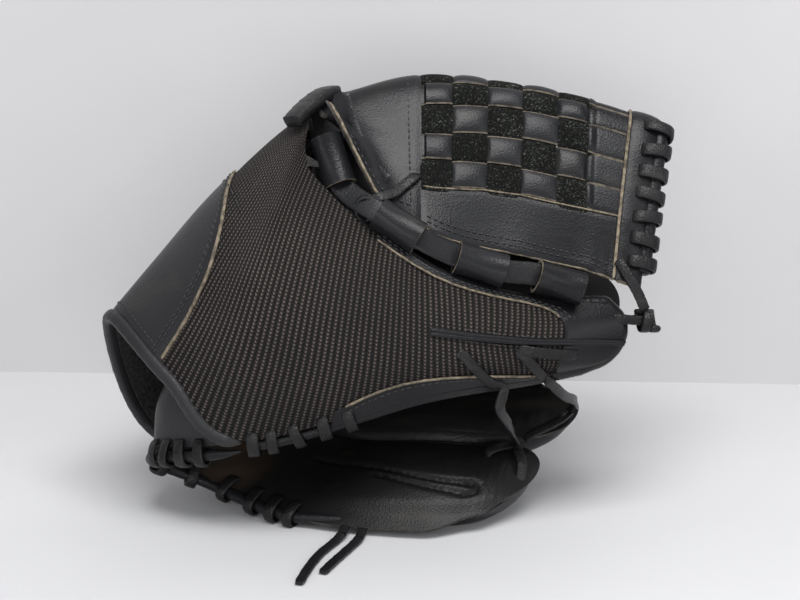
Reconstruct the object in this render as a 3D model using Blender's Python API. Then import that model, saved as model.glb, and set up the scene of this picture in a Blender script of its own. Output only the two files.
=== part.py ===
"""A fielder's baseball glove for the left hand, lying closed on its little-finger side.

The glove is a hide ribbon that runs from the thumb tip, round the palm, to the fingertips.
Two nets of section points give it its form: POCKET is the palm side that meets the ball, and
BACK is the outer side of the thumb and of the hand. Every piece is a patch of one of these
surfaces, at a depth worked out from the thickness of the layers below it.

Frame: +X from the wrist to the fingertips, +Y from the thumb to the finger backs, +Z up.
The origin lies on the table, under the little finger. Lengths are in millimetres.
"""

import math

import bpy
import numpy as np

MM = 0.001

# Layer thicknesses
HIDE = 2.4            # outer leather
MESH_CLOTH = 1.8      # knitted back panel
LINING = 1.4          # soft leather inside
FELT = 4.0            # palm padding
SEAT = 0.3            # clearance between pieces that touch
FINGER_SEAT = 0.7     # the same, where a finger back follows the crowned palm

# Finger stalls
STALL_DEPTHS = (31.0, 46.0, 25.0, 25.0)    # finger room plus leather at the knuckles, from the little finger
TIP_DEPTHS = (24.0, 24.0, 17.0, 17.0)      # the same, near the fingertips
FINGER_CROWN = 4.0    # how far the padded palm side of a finger stands into the pocket
FINGER_BORDERS = (0.0, 0.27, 0.51, 0.76, 1.0)
FINGER_NAMES = ("pinky", "ring", "middle", "index")

# Lace, welts and binding
LACE_WIDTH = 5.0
LACE_THICK = 2.0
LACE_SLACK = 1.4      # a wound lace bulges this far off its cord
WELT = 3.4
BINDING = 6.0
EDGE_CORD = 5.0

# Basket web
WEB_HIDE = 2.0
STRIP_WIDTH = 12.4
STRIP_GAP = 2.8
WEAVE_RISE = 1.1     # half the height between a strip that is over and one that is under
ROWS = 6
COLUMNS = 5
TUBE_OUTER = 8.4
TUBE_WALL = 4.8

# Fold line of the palm, where the thumb turns
FOLD_LOW = (-76.0, -49.0, 50.0)
FOLD_HIGH = (-34.0, -11.0, 174.0)
FOLD_GAP = 0.9        # half the slit that the fold leaves in the palm leather


def along_fold(share):
    """A point on the straight fold line, from its low end to its high end."""
    low, high = np.array(FOLD_LOW), np.array(FOLD_HIGH)
    return tuple(low + (high - low) * share)


# Section points, from the open edge of the pocket (first) to the web (last)
POCKET = (
    ((98, -31, 84), (112, -27, 90), (119, -23, 98), (119, -21, 107), (112, -19, 114)),      # thumb tip
    ((72, -37, 81), (72, -34, 91), (71, -31, 101), (72, -28, 111), (72, -27, 118)),         # thumb
    ((19, -48, 77), (19, -42, 93), (19, -38, 109), (19, -35, 124), (19, -34, 137)),         # thumb base
    tuple(along_fold(share) for share in (0.0, 0.25, 0.5, 0.75, 1.0)),                      # fold
    ((-122, -22, 34), (-98, -6, 84), (-72, 5, 130), (-54, 9, 162), (-36, 12, 184)),         # palm centre
    ((-98, -8, 16), (-86, 28, 46), (-76, 42, 90), (-62, 42, 135), (-38, 36, 184)),          # finger side
    ((-48, -40, 9), (-30, 6, 30), (-20, 48, 56), (-15, 55, 122), (-8, 44, 182)),            # knuckles
    ((18, -55, 8), (28, -8, 33), (36, 44, 48), (42, 53, 122), (48, 44, 180)),               # fingers
    ((64, -50, 13), (88, -4, 27), (113, 36, 50), (134, 44, 118), (138, 36, 166)),           # fingertips
)
BACK = (
    ((100, -38, 87), (114, -36, 91), (122, -32, 99), (122, -29, 109), (114, -25, 117)),     # thumb tip
    ((72, -44, 83), (72, -50, 92), (71, -50, 103), (72, -44, 113), (72, -35, 121)),         # thumb
    ((19, -56, 79), (19, -62, 96), (19, -60, 113), (19, -53, 129), (19, -43, 140)),         # thumb base
    ((-76, -58, 54), (-63, -70, 97), (-54, -66, 133), (-45, -47, 163), (-37, -22, 182)),    # fold
    ((-113, -45, 85), (-96, -48, 115), (-77, -42, 151), (-58, -26, 183), (-42, -4, 207)),   # wrist, thumb side
    ((-148, 0, 103), (-123, 5, 132), (-96, 8, 163), (-67, 10, 191), (-43, 14, 210)),        # back of the hand
    ((-134, 26, 32), (-116, 58, 70), (-98, 68, 112), (-76, 64, 152), (-48, 50, 192)),       # wrist, finger side
    ((-62, 0, 4), (-44, 38, 16), (-28, 76, 62), (-22, 83, 126), (-16, 70, 180)),            # knuckles
)
WEB = (
    ((-20, -4, 200), (-26, 8, 208), (-30, 20, 215), (-30, 30, 213), (-28, 36, 208)),        # crotch
    ((16, -20, 168), (16, -1, 193), (16, 26, 223), (16, 45, 215), (16, 52, 206)),
    ((60, -20, 151), (62, -2, 179), (64, 28, 218), (64, 47, 209), (64, 54, 200)),
    ((100, -19, 141), (101, -2, 170), (104, 27, 210), (104, 45, 201), (104, 51, 191)),
    ((117, -18, 138), (121, -2, 165), (128, 26, 203), (128, 43, 194), (128, 48, 185)),      # top bar
    ((136, -16, 132), (141, 0, 159), (149, 25, 196), (149, 41, 187), (149, 46, 179)),       # end of the bar
)
REST = (0.0, -30.0, 0.0)   # middle of the patch that lies on the table


# Surfaces

def spline(points, where):
    """A smooth curve through evenly numbered points, read at the numbers in where."""
    points = np.asarray(points, float)
    last = len(points) - 1
    ends = np.vstack([2 * points[:1] - points[1:2], points, 2 * points[-1:] - points[-2:-1]])
    where = np.asarray(where, float)
    piece = np.clip(np.floor(where).astype(int), 0, last - 1)
    t = (where - piece).reshape(where.shape + (1,) * (points.ndim - 1))
    a, b, c, d = (ends[piece + k] for k in range(4))
    return 0.5 * (2 * b + (c - a) * t + (2 * a - 5 * b + 4 * c - d) * t**2 + (3 * b - a - 3 * c + d) * t**3)


class Surface:
    """A smooth sheet through a net of section points. u counts the sections, v runs from 0 to 1."""

    STEP = 0.004

    def __init__(self, net, side):
        self.net = np.array(net, float)
        self.side = side

    def point(self, u, v):
        u, v = np.broadcast_arrays(np.asarray(u, float), np.asarray(v, float))
        columns = spline(self.net, u.ravel())
        share = v.ravel() * (self.net.shape[1] - 1)
        found = np.array([spline(column, [at])[0] for column, at in zip(columns, share)])
        return found.reshape(u.shape + (3,))

    def slopes(self, u, v):
        step = self.STEP
        along = self.point(np.add(u, step), v) - self.point(np.subtract(u, step), v)
        across = self.point(u, np.add(v, step)) - self.point(u, np.subtract(v, step))
        return along / (2 * step), across / (2 * step)

    def normal(self, u, v):
        along, across = self.slopes(u, v)
        n = np.cross(along, across) * self.side
        return n / np.linalg.norm(n, axis=-1, keepdims=True)

    def lifted(self, u, v, height):
        """Points at a height over the sheet, on its outer side."""
        return self.point(u, v) + self.normal(u, v) * np.asarray(height, float)[..., None]



pocket = Surface(POCKET, 1)
back = Surface(BACK, -1)
web = Surface(WEB, 1)


# Building solids

def clear_scene():
    for old in list(bpy.data.objects):
        bpy.data.objects.remove(old, do_unlink=True)


FINISHES = {
    "black_leather": ((0.035, 0.035, 0.038), 0.45),
    "palm_leather": ((0.022, 0.021, 0.021), 0.38),
    "mesh_cloth": ((0.045, 0.036, 0.034), 0.8),
    "suede": ((0.018, 0.02, 0.017), 0.95),
    "lining": ((0.02, 0.02, 0.02), 0.9),
    "felt": ((0.45, 0.43, 0.4), 0.95),
    "lace": ((0.03, 0.03, 0.032), 0.55),
}


def finish(name):
    """The material of that name, made once."""
    if name in bpy.data.materials:
        return bpy.data.materials[name]
    colour, roughness = FINISHES[name]
    made = bpy.data.materials.new(name)
    made.use_nodes = True
    shader = made.node_tree.nodes["Principled BSDF"]
    shader.inputs["Base Color"].default_value = (*colour, 1)
    shader.inputs["Roughness"].default_value = roughness
    shader.inputs["Metallic"].default_value = 0
    return made


def add_piece(name, points, faces, material):
    """An object from points in millimetres."""
    mesh = bpy.data.meshes.new(name)
    mesh.from_pydata([tuple(p * MM) for p in np.asarray(points) - REST], [], faces)
    mesh.validate()
    made = bpy.data.objects.new(name, mesh)
    bpy.context.scene.collection.objects.link(made)
    made.data.materials.append(finish(material))
    mesh.shade_smooth()
    mesh.set_sharp_from_angle(angle=math.radians(40))
    return made


def grid_solid(name, outer, inner, material):
    """A closed plate between two grids of points of the same shape."""
    rows, columns = outer.shape[:2]
    points = np.concatenate([outer.reshape(-1, 3), inner.reshape(-1, 3)])
    under = rows * columns
    faces = []
    for i in range(rows - 1):
        for j in range(columns - 1):
            a = i * columns + j
            for corners in ((a, a + columns, a + columns + 1), (a, a + columns + 1, a + 1)):
                faces.append(corners)
                faces.append(tuple(under + k for k in reversed(corners)))
    rim = [j for j in range(columns)]
    rim += [i * columns + columns - 1 for i in range(1, rows)]
    rim += [(rows - 1) * columns + j for j in range(columns - 2, -1, -1)]
    rim += [i * columns for i in range(rows - 2, 0, -1)]
    for k, a in enumerate(rim):
        b = rim[(k + 1) % len(rim)]
        faces.append((a, b, under + b, under + a))
    return add_piece(name, points, outward(points, faces), material)


def outward(points, faces):
    """The faces, all turned round if they enclose a negative volume."""
    volume = 0.0
    for face in faces:
        for k in range(1, len(face) - 1):
            volume += np.linalg.det(points[[face[0], face[k], face[k + 1]]])
    return faces if volume > 0 else [tuple(reversed(face)) for face in faces]


def read_grid(grid, rows, columns):
    """Points of a grid between its lines, by whole and part row and column numbers."""
    i, j = np.broadcast_arrays(np.asarray(rows, float), np.asarray(columns, float))
    top = np.clip(np.floor(i).astype(int), 0, grid.shape[0] - 2)
    left = np.clip(np.floor(j).astype(int), 0, grid.shape[1] - 2)
    down, right = (i - top)[..., None], (j - left)[..., None]
    near = grid[top, left] * (1 - right) + grid[top, left + 1] * right
    far = grid[top + 1, left] * (1 - right) + grid[top + 1, left + 1] * right
    return near * (1 - down) + far * down


class Sheet:
    """A surface cut into one grid. Pieces are slices of that grid, so that layers lie parallel."""

    def __init__(self, surface, u, v, rise=0.0):
        self.face = surface.lifted(u, v, rise + 0 * u)
        self.out = surface.normal(u, v)

    def layer(self, rows, columns, depth):
        rows, columns = np.asarray(rows, float), np.asarray(columns, float)
        if rows.ndim == 1:
            rows, columns = np.meshgrid(rows, columns, indexing="ij")
        depth = np.asarray(depth, float)[..., None]
        return read_grid(self.face, rows, columns) - read_grid(self.out, rows, columns) * depth


def plate(name, sheet, rows, columns, depth, thick, material):
    """A slice of a sheet whose outer face lies depth below it."""
    return grid_solid(name, sheet.layer(rows, columns, depth), sheet.layer(rows, columns, depth + thick), material)


def sweep(name, centres, normals, width, thick, material, sides=4):
    """A flat strip, or a round cord of more sides, along a line of points. Normals give its flat side."""
    centres, normals = np.asarray(centres, float), np.asarray(normals, float)
    tangents = np.gradient(centres, axis=0)
    tangents /= np.linalg.norm(tangents, axis=1, keepdims=True)
    across = np.cross(tangents, normals)
    across /= np.linalg.norm(across, axis=1, keepdims=True)
    up = np.cross(across, tangents)
    turns = (np.arange(sides) + 0.5) * 2 * math.pi / sides
    reach = 1 / math.cos(math.pi / sides)
    rings = [
        centres + reach * (math.cos(t) * across * width / 2 + math.sin(t) * up * thick / 2) for t in turns
    ]
    points = np.stack(rings, 1).reshape(-1, 3)
    count = len(centres)
    faces = [tuple(range(sides)), tuple((count - 1) * sides + k for k in range(sides - 1, -1, -1))]
    for i in range(count - 1):
        for k in range(sides):
            a, b = i * sides + k, i * sides + (k + 1) % sides
            faces.append((a, a + sides, b + sides, b))
    return add_piece(name, points, outward(points, faces), material)


def tube(name, start, end, outer, inner, material, sides=12):
    """A straight leather tunnel with an open bore."""
    start, end = np.asarray(start, float), np.asarray(end, float)
    axis = (end - start) / np.linalg.norm(end - start)
    side = np.cross(axis, (0, 0, 1))
    side /= np.linalg.norm(side)
    up = np.cross(side, axis)
    turns = np.arange(sides) * 2 * math.pi / sides
    circle = np.cos(turns)[:, None] * side + np.sin(turns)[:, None] * up
    rings = [start + circle * outer, end + circle * outer, end + circle * inner, start + circle * inner]
    points = np.concatenate(rings)
    faces = []
    for ring in range(4):
        for k in range(sides):
            a, b = ring * sides + k, ring * sides + (k + 1) % sides
            following = (ring + 1) % 4 * sides
            faces.append((a, following + k, following + (k + 1) % sides, b))
    return add_piece(name, points, outward(points, faces), material)


def on_table(points, least=0.0):
    """Points that would lie below the table are pressed flat against it."""
    pressed = points.copy()
    pressed[..., 2] = np.maximum(pressed[..., 2], least)
    return pressed


# Palm side

def finger_share(v):
    """Where v lies across its own finger, from 0 to 1."""
    v = np.asarray(v, float)
    finger = np.clip(np.searchsorted(FINGER_BORDERS, v, side="right") - 1, 0, 3)
    borders = np.array(FINGER_BORDERS)
    return (v - borders[finger]) / (borders[finger + 1] - borders[finger])


def tip_reach(v):
    """Where a fingertip ends along the hide: round on each finger, short between two fingers."""
    return 7.62 + 0.38 * (1 - np.abs(2 * finger_share(v) - 1) ** 2.6)


def crown(u, v):
    """How far the padded fingers stand into the pocket."""
    start = np.clip((u - 5.6) / 0.9, 0, 1)
    ending = np.clip((8.0 - u) / 0.3, 0, 1)
    return FINGER_CROWN * np.sin(math.pi * finger_share(v)) * start * start * (3 - 2 * start) * np.sqrt(ending)


def fold_slit():
    """FOLD_GAP as a share of one section of the pocket, beside the fold."""
    spread = np.linalg.norm(pocket.point(3.1, 0.5) - pocket.point(3.0, 0.5)) / 0.1
    return FOLD_GAP / spread


CELL_LINES = np.array([0, 0.075, 0.3625, 0.6375, 0.925])    # grid lines across one finger
CELLS = len(CELL_LINES)
PALM_ROWS = np.array([0, 0.08, 0.16, 0.24, 0.32, 0.4, 0.48, 0.55, 0.62, 0.7, 0.78, 0.86, 0.93, 0.975, 1.0])
KNUCKLE_ROW = 8
TIP_ROW = len(PALM_ROWS) - 1


def palm_sheet():
    """The palm leather, from the fold to the scalloped fingertips."""
    borders = zip(FINGER_BORDERS, FINGER_BORDERS[1:])
    v = np.concatenate([low + (high - low) * CELL_LINES for low, high in borders] + [[1.0]])
    start = 3.0 + fold_slit()
    u = start + PALM_ROWS[:, None] * (tip_reach(v) - start)
    v = np.broadcast_to(v, u.shape)
    return Sheet(pocket, u, v, crown(u, v))


def thumb_sheet():
    """The palm leather of the thumb, from its tip to the fold."""
    u, v = np.meshgrid(np.linspace(0.06, 3.0 - fold_slit(), 11), np.linspace(0, 1, 9), indexing="ij")
    return Sheet(pocket, u, v)


def make_palm(palm):
    rows, columns = np.arange(TIP_ROW + 1), np.arange(4 * CELLS + 1)
    plate("palm_leather", palm, rows, columns, 0.0, HIDE, "palm_leather")
    felt_top = HIDE + SEAT
    plate("palm_felt_pad", palm, np.arange(1, 7), np.arange(2, 19), felt_top, FELT, "felt")
    plate("palm_lining", palm, np.arange(1, 8), np.arange(1, 20), felt_top + FELT + SEAT, LINING, "lining")


def make_thumb_inside(thumb):
    plate("thumb_palm_leather", thumb, np.arange(11), rows_between(0, 8, 0.9), 0.0, HIDE, "palm_leather")


# Finger backs

WALL_COLUMNS = 0.14   # wall of a finger back, in grid columns
FINGER_ROWS = np.array([8, 9, 10, 11, 12, 12.5, 13, 13.5, 13.85])
FINGER_ROWS_INSIDE = np.array([8, 9, 10, 11, 12, 12.4, 12.8, 13, 13.5])


def finger_back(palm, name, finger):
    """One arched back, open at the knuckles and closed down to the palm leather round its tip."""
    share = 0.5 - 0.5 * np.cos(np.linspace(0, math.pi, 9))
    arch = np.sqrt(np.clip(1 - np.abs(2 * share - 1) ** 2.4, 0, 1))
    to_tip = np.array([0, 0.17, 0.34, 0.51, 0.68, 0.78, 0.88, 0.96, 1.0])
    round_off = np.sqrt(np.clip(1 - np.clip((to_tip - 0.5) / 0.5, 0, 1) ** 3, 0, 1))
    depth = (STALL_DEPTHS[finger] + (TIP_DEPTHS[finger] - STALL_DEPTHS[finger]) * to_tip) * round_off
    layers = []
    for wall, rows in enumerate((FINGER_ROWS, FINGER_ROWS_INSIDE)):
        low = CELLS * finger + 1 + wall * WALL_COLUMNS
        columns = low + (CELLS - 2 - 2 * wall * WALL_COLUMNS) * share
        rows, columns = np.meshgrid(rows, columns, indexing="ij")
        height = np.maximum(depth[:, None] * arch - wall * HIDE, 0)
        layers.append(on_table(palm.layer(rows, columns, HIDE + FINGER_SEAT + height), wall * HIDE))
    return grid_solid(f"{name}_finger_back", *layers, "black_leather")


def make_fingers(palm):
    for finger, name in enumerate(FINGER_NAMES):
        finger_back(palm, name, finger)
    for finger, (first, second) in enumerate(zip(FINGER_NAMES, FINGER_NAMES[1:])):
        rows = rows_between(KNUCKLE_ROW, TIP_ROW, 0.2, 0.4)
        line, out, normal = edge_of(palm, rows, CELLS * (finger + 1), 0.0, -HIDE - SEAT - WELT / 2)
        sweep(f"{first}_{second}_welt", line, normal, WELT, WELT, "black_leather", 6)


# Thumb and back of the hand

BACK_ROWS = np.array([0.05, 0.25, 0.5, 0.78, 1.1, 1.45, 1.8, 2.1, 2.4, 2.7, 3.0, 3.3, 3.6, 3.9, 4.2,
                      4.7, 5.05, 5.4, 5.75, 6.1, 6.4, 6.68, 6.93])
BACK_COLUMNS = 10
CAP_ROW = 3           # where the tip leather meets the mesh cloth
FOLD_ROW = 10
STRAP_ROW = 14        # where the wrist strap meets the mesh cloth
END_ROW = len(BACK_ROWS) - 1
STRAP_TOP = 6
SEAM = 0.03           # half a seam, in grid rows
GUSSET_SEAT = 1.4     # from the middle of the palm's edge to the gusset, and half as far as at the back


def back_sheet():
    u, v = np.meshgrid(BACK_ROWS, np.linspace(0, 1, BACK_COLUMNS + 1), indexing="ij")
    return Sheet(back, u, v)


def rows_between(first, last, start=0.0, end=0.0):
    """Row numbers, moved in from both ends by part of a row."""
    rows = np.arange(first, last + 1).astype(float)
    rows[0] += start
    rows[-1] -= end
    return rows


def make_thumb_back(sheet):
    columns = np.arange(BACK_COLUMNS + 1)
    plate("thumb_tip_cap", sheet, rows_between(0, CAP_ROW, 0, SEAM), columns, 0.0, HIDE, "black_leather")
    plate("thumb_mesh_panel", sheet, rows_between(CAP_ROW, STRAP_ROW, SEAM, SEAM), columns, 0.0,
          MESH_CLOTH, "mesh_cloth")
    plate("thumb_lining", sheet, np.arange(2, FOLD_ROW - 1), np.arange(2, BACK_COLUMNS - 1), HIDE + SEAT,
          LINING, "lining")


def make_hand_back(sheet):
    rows = rows_between(STRAP_ROW, END_ROW, SEAM)
    plate("wrist_strap", sheet, rows, np.arange(STRAP_TOP + 1), 0.0, HIDE, "black_leather")
    plate("back_mesh_panel", sheet, rows, rows_between(STRAP_TOP, BACK_COLUMNS, 2 * SEAM), 0.0, MESH_CLOTH,
          "mesh_cloth")
    plate("hand_lining", sheet, np.arange(FOLD_ROW + 1, END_ROW), np.arange(BACK_COLUMNS), HIDE + SEAT,
          LINING, "lining")


def make_crotch_gusset():
    """Leather that closes the hand room at the web, from the palm's edge to the back's edge."""
    low = pocket.lifted(np.linspace(3.75, 4.35, 6), np.ones(6), np.full(6, -HIDE / 2))
    high = back.lifted(np.linspace(4.5, 5.4, 6), np.ones(6), np.full(6, -MESH_CLOTH / 2))
    way = high - low
    reach = np.linalg.norm(way, axis=1, keepdims=True)
    share = np.stack([GUSSET_SEAT / reach, 0.5 + 0 * reach, 1 - 2 * GUSSET_SEAT / reach], 1)
    middle = low[:, None] + way[:, None] * share
    side = np.cross(np.gradient(low, axis=0), way)
    side /= np.linalg.norm(side, axis=1, keepdims=True)
    grid_solid("crotch_gusset", middle + side[:, None] * HIDE / 2, middle - side[:, None] * HIDE / 2,
               "black_leather")


# Rolled edges and the lacing round them

def edge_of(sheet, rows, column, away, lift):
    """A line beside a column of a sheet: the line, the way out past the edge, and the normal."""
    columns = np.full_like(rows, column)
    normal = read_grid(sheet.out, rows, columns)
    edge = read_grid(sheet.face, rows, columns)
    along = np.gradient(edge, axis=0)
    out = np.cross(along, normal)
    out /= np.linalg.norm(out, axis=1, keepdims=True)
    inward = read_grid(sheet.face, rows, columns + 0.5) - edge
    out *= -np.sign((out * inward).sum(1, keepdims=True))
    return edge + out * away + normal * lift, out, normal


def wrap_lace(name, line, up, core, turns):
    """A lace wound round a cord, a little clear of it."""
    count = int(turns * 10) + 1
    where = np.linspace(0, len(line) - 1, count)
    centre = np.stack([np.interp(where, np.arange(len(line)), line[:, k]) for k in range(3)], 1)
    up = np.stack([np.interp(where, np.arange(len(line)), up[:, k]) for k in range(3)], 1)
    along = np.gradient(centre, axis=0)
    side = np.cross(along, up)
    side /= np.linalg.norm(side, axis=1, keepdims=True)
    up = np.cross(side, along)
    up /= np.linalg.norm(up, axis=1, keepdims=True)
    angle = np.linspace(0, 2 * math.pi * turns, count)[:, None]
    radial = np.cos(angle) * up + np.sin(angle) * side
    reach = core / 2 + LACE_THICK / 2 + LACE_SLACK
    return sweep(name, centre + radial * reach, radial, LACE_WIDTH, LACE_THICK, "lace")


LACED = EDGE_CORD / 2 + LACE_THICK + LACE_SLACK + 0.6    # from the middle of a laced cord to the edge it closes


def make_binding(sheet):
    rows = rows_between(FOLD_ROW, END_ROW - 1, 0.1, 0.2)
    line, out, normal = edge_of(sheet, rows, 0, BINDING / 2 + SEAT + 0.2, -HIDE / 2)
    sweep("wrist_binding", line, normal, BINDING, BINDING, "black_leather", 8)


def make_thumb_edge(sheet):
    rows = rows_between(CAP_ROW, FOLD_ROW, 0.0, 0.6)
    line, out, normal = edge_of(sheet, rows, 0, LACED + 0.2, -2.4)
    sweep("thumb_edge_welt", line, normal, EDGE_CORD, EDGE_CORD, "black_leather", 8)
    wrap_lace("thumb_edge_lace", line[:-1], normal[:-1], EDGE_CORD, 8)
    rows = rows_between(1, 8)
    line, out, normal = edge_of(sheet, rows, 5, 0.0, WELT / 2 + SEAT)
    sweep("thumb_centre_welt", line, normal, WELT, WELT, "black_leather", 6)


def make_heel(palm):
    rows = rows_between(3, 12, 0.0, 0.3)
    line, out, normal = edge_of(palm, rows, 0, LACED + 1.6, -HIDE)
    line[:, 2] = np.maximum(line[:, 2], EDGE_CORD / 2 + LACE_THICK + LACE_SLACK + 0.6)
    sweep("heel_edge_welt", line, normal, EDGE_CORD, EDGE_CORD, "black_leather", 8)
    wrap_lace("heel_edge_lace", line, normal, EDGE_CORD, 14)


# Basket web

WEB_FRONT = ((1.0, 0.085), (1.35, 0.13), (1.7, 0.168), (2.13, 0.19), (3.94, 0.193))   # where the front border ends
WEB_BEHIND = 0.1      # rear border
SLIT = 0.01
WEB_LEFT = 1.02       # where the base leather ends and the weave starts
WEB_RIGHT = 3.94      # where the weave ends beside the top bar
BAR_RIGHT = 4.72      # right edge of the flat part of the top bar
BAR_THICK = 6.0
BAR_CORD = 6.0


COLUMN_START = 16.0   # left edge of the first suede strip, along X
COLUMN_PITCH = 18.2
FLAP = ((0.05, 0.1), (0.3, 0.1), (0.6, 0.06), (1.0, 0.085), (1.6, 0.07), (2.2, 0.05), (3.94, 0.045))


def flap(u):
    """How far the front of the web hangs past its last section points, as a share of its width."""
    return -np.interp(u, *np.array(FLAP).T)


def weave(u, share):
    """The place across the web of a share of the weave's width, from the front border to the rear one."""
    steps = np.linalg.norm(np.diff(np.array(WEB, float), axis=1), axis=2).mean(0)
    far = np.concatenate([[0], np.cumsum(steps)])
    knots = np.linspace(0, 1, len(far))
    front = np.interp(np.interp(u, *np.array(WEB_FRONT).T), knots, far)
    rear = np.interp(1 - WEB_BEHIND, knots, far)
    return np.interp(front + (rear - front) * share, far, knots)


def column_edges():
    """Both edges of every suede strip, evenly spaced along X."""
    u = np.linspace(WEB_LEFT, WEB_RIGHT, 80)
    x = web.point(u, np.full(80, 0.35))[:, 0]
    starts = COLUMN_START + np.arange(COLUMNS) * COLUMN_PITCH
    width = COLUMN_PITCH * STRIP_WIDTH / (STRIP_WIDTH + STRIP_GAP)
    return np.interp(np.stack([starts, starts + width], 1), x, u)


def strip_edges(start, end, count):
    """Both edges of every strip between start and end."""
    pitch = (end - start) / count
    half = pitch / 2 * STRIP_WIDTH / (STRIP_WIDTH + STRIP_GAP)
    centres = start + (np.arange(count) + 0.5) * pitch
    return np.stack([centres - half, centres + half], 1)


def web_piece(name, u, v, rise, thick, material):
    """A plate on the web, with its middle at a rise over the sheet."""
    outer, inner = (web.lifted(u, v, rise + side * thick / 2 + 0 * u) for side in (1, -1))
    return grid_solid(name, outer, inner, material)


def web_patch(name, us, vs, thick, hanging=False):
    u, v = np.meshgrid(us, vs, indexing="ij")
    if hanging:
        v[:, 0] = flap(np.asarray(us))
    if name == "web_front_border":
        v[:, -1] = weave(np.asarray(us), -SLIT)
    return web_piece(name, u, v, 0.0, thick, "black_leather")


def make_web():
    columns = column_edges()
    rows = strip_edges(0.0, 1.0, ROWS)
    lines = np.concatenate([[WEB_LEFT], columns.ravel()[1:], [3.5, WEB_RIGHT]])
    across = np.concatenate([[0, 0.03], weave(1.0, rows.ravel()), [1 - WEB_BEHIND, 1]])
    web_patch("web_front_border", lines, (0, 0.03, 1), WEB_HIDE, True)
    web_patch("web_rear_border", lines, (1 - WEB_BEHIND + SLIT, 0.95, 1), WEB_HIDE)
    web_patch("web_base", np.linspace(0.05, WEB_LEFT - 0.012, 6), across, WEB_HIDE, True)
    for row, edges in enumerate(rows):
        over = np.repeat([-(-1) ** (row + column) for column in range(COLUMNS)], 2) * WEAVE_RISE
        over = np.append(over, [0, 0])
        u, v = np.meshgrid(np.append(columns.ravel(), [3.5, WEB_RIGHT]), edges, indexing="ij")
        u[0] = WEB_LEFT
        v = weave(u, v)
        web_piece(f"web_row_{row + 1}", u, v, over[:, None], WEB_HIDE - 2 * SEAT, "black_leather")
    for column, edges in enumerate(columns):
        over = np.repeat([(-1) ** (row + column) for row in range(ROWS)], 2) * WEAVE_RISE
        u, v = np.meshgrid(edges, np.concatenate([[0], rows.ravel()[1:-1], [1]]), indexing="ij")
        v = weave(u, v)
        web_piece(f"web_column_{column + 1}", u, v, over[None, :], WEB_HIDE - 2 * SEAT, "suede")
    web_patch("web_top_bar", (WEB_RIGHT + 0.012, 4.33, BAR_RIGHT), across, BAR_THICK)
    make_bar_lacing()


def make_bar_lacing():
    """A roll along the end of the top bar, with seven turns of lace."""
    v = np.linspace(0.03, 0.5, 18)
    away = LACE_THICK + LACE_SLACK + 0.6 + BAR_CORD / 2
    along, across = web.slopes(np.full(18, BAR_RIGHT), v)
    normal = web.normal(np.full(18, BAR_RIGHT), v)
    out = np.cross(across, normal)
    out /= np.linalg.norm(out, axis=1, keepdims=True)
    line = web.point(np.full(18, BAR_RIGHT), v) + out * away
    sweep("web_bar_roll", line, normal, BAR_CORD, BAR_CORD, "black_leather", 8)
    wrap_lace("web_bar_lace", line[1:-1], normal[1:-1], BAR_CORD, 7)


# Lace tunnels between the web, the thumb and the index finger

FRONT_TUNNELS = (
    ((-33, -8, 200), (-25, -19, 178)),
    ((-6, -33.4, 166.8), (15, -38.4, 154.8)),
    ((34, -37, 145), (58, -36, 137)),
    ((75, -33, 134), (98, -31, 126)),
)
REAR_TUNNELS = (
    ((-20, 53, 202), (2, 58, 202)),
    ((14, 60.5, 199.5), (38, 60.5, 197.5)),
    ((56, 60.7, 193.6), (80, 59.7, 190.6)),
    ((96, 59.6, 187), (120, 56.6, 182)),
)


def make_tunnels():
    for side, tunnels in (("front", FRONT_TUNNELS), ("rear", REAR_TUNNELS)):
        for number, (start, end) in enumerate(tunnels, 1):
            tube(f"web_{side}_tunnel_{number}", start, end, TUBE_OUTER, TUBE_OUTER - TUBE_WALL, "black_leather")
        line = np.array([point for ends in tunnels for point in past_both_ends(*ends)])
        flat = np.tile((0, -1, 0.6) if side == "front" else (0, 1, 0.6), (len(line), 1))
        sweep(f"web_{side}_lace", line, flat, LACE_WIDTH, LACE_THICK, "lace")


def past_both_ends(start, end):
    """The ends of a tunnel and a point past each, so that the lace turns outside it."""
    start, end = np.array(start, float), np.array(end, float)
    step = (end - start) / np.linalg.norm(end - start)
    return start - 3 * step, start, (start + end) / 2, end, end + 3 * step


# Loose laces

def loose_lace(name, points, flats, count, width=LACE_WIDTH, thick=LACE_THICK):
    """A lace through the given points. Flats give the way its broad side faces at each of them."""
    where = np.linspace(0, len(points) - 1, count)
    return sweep(name, spline(points, where), spline(flats, where), width, thick, "lace")


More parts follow.
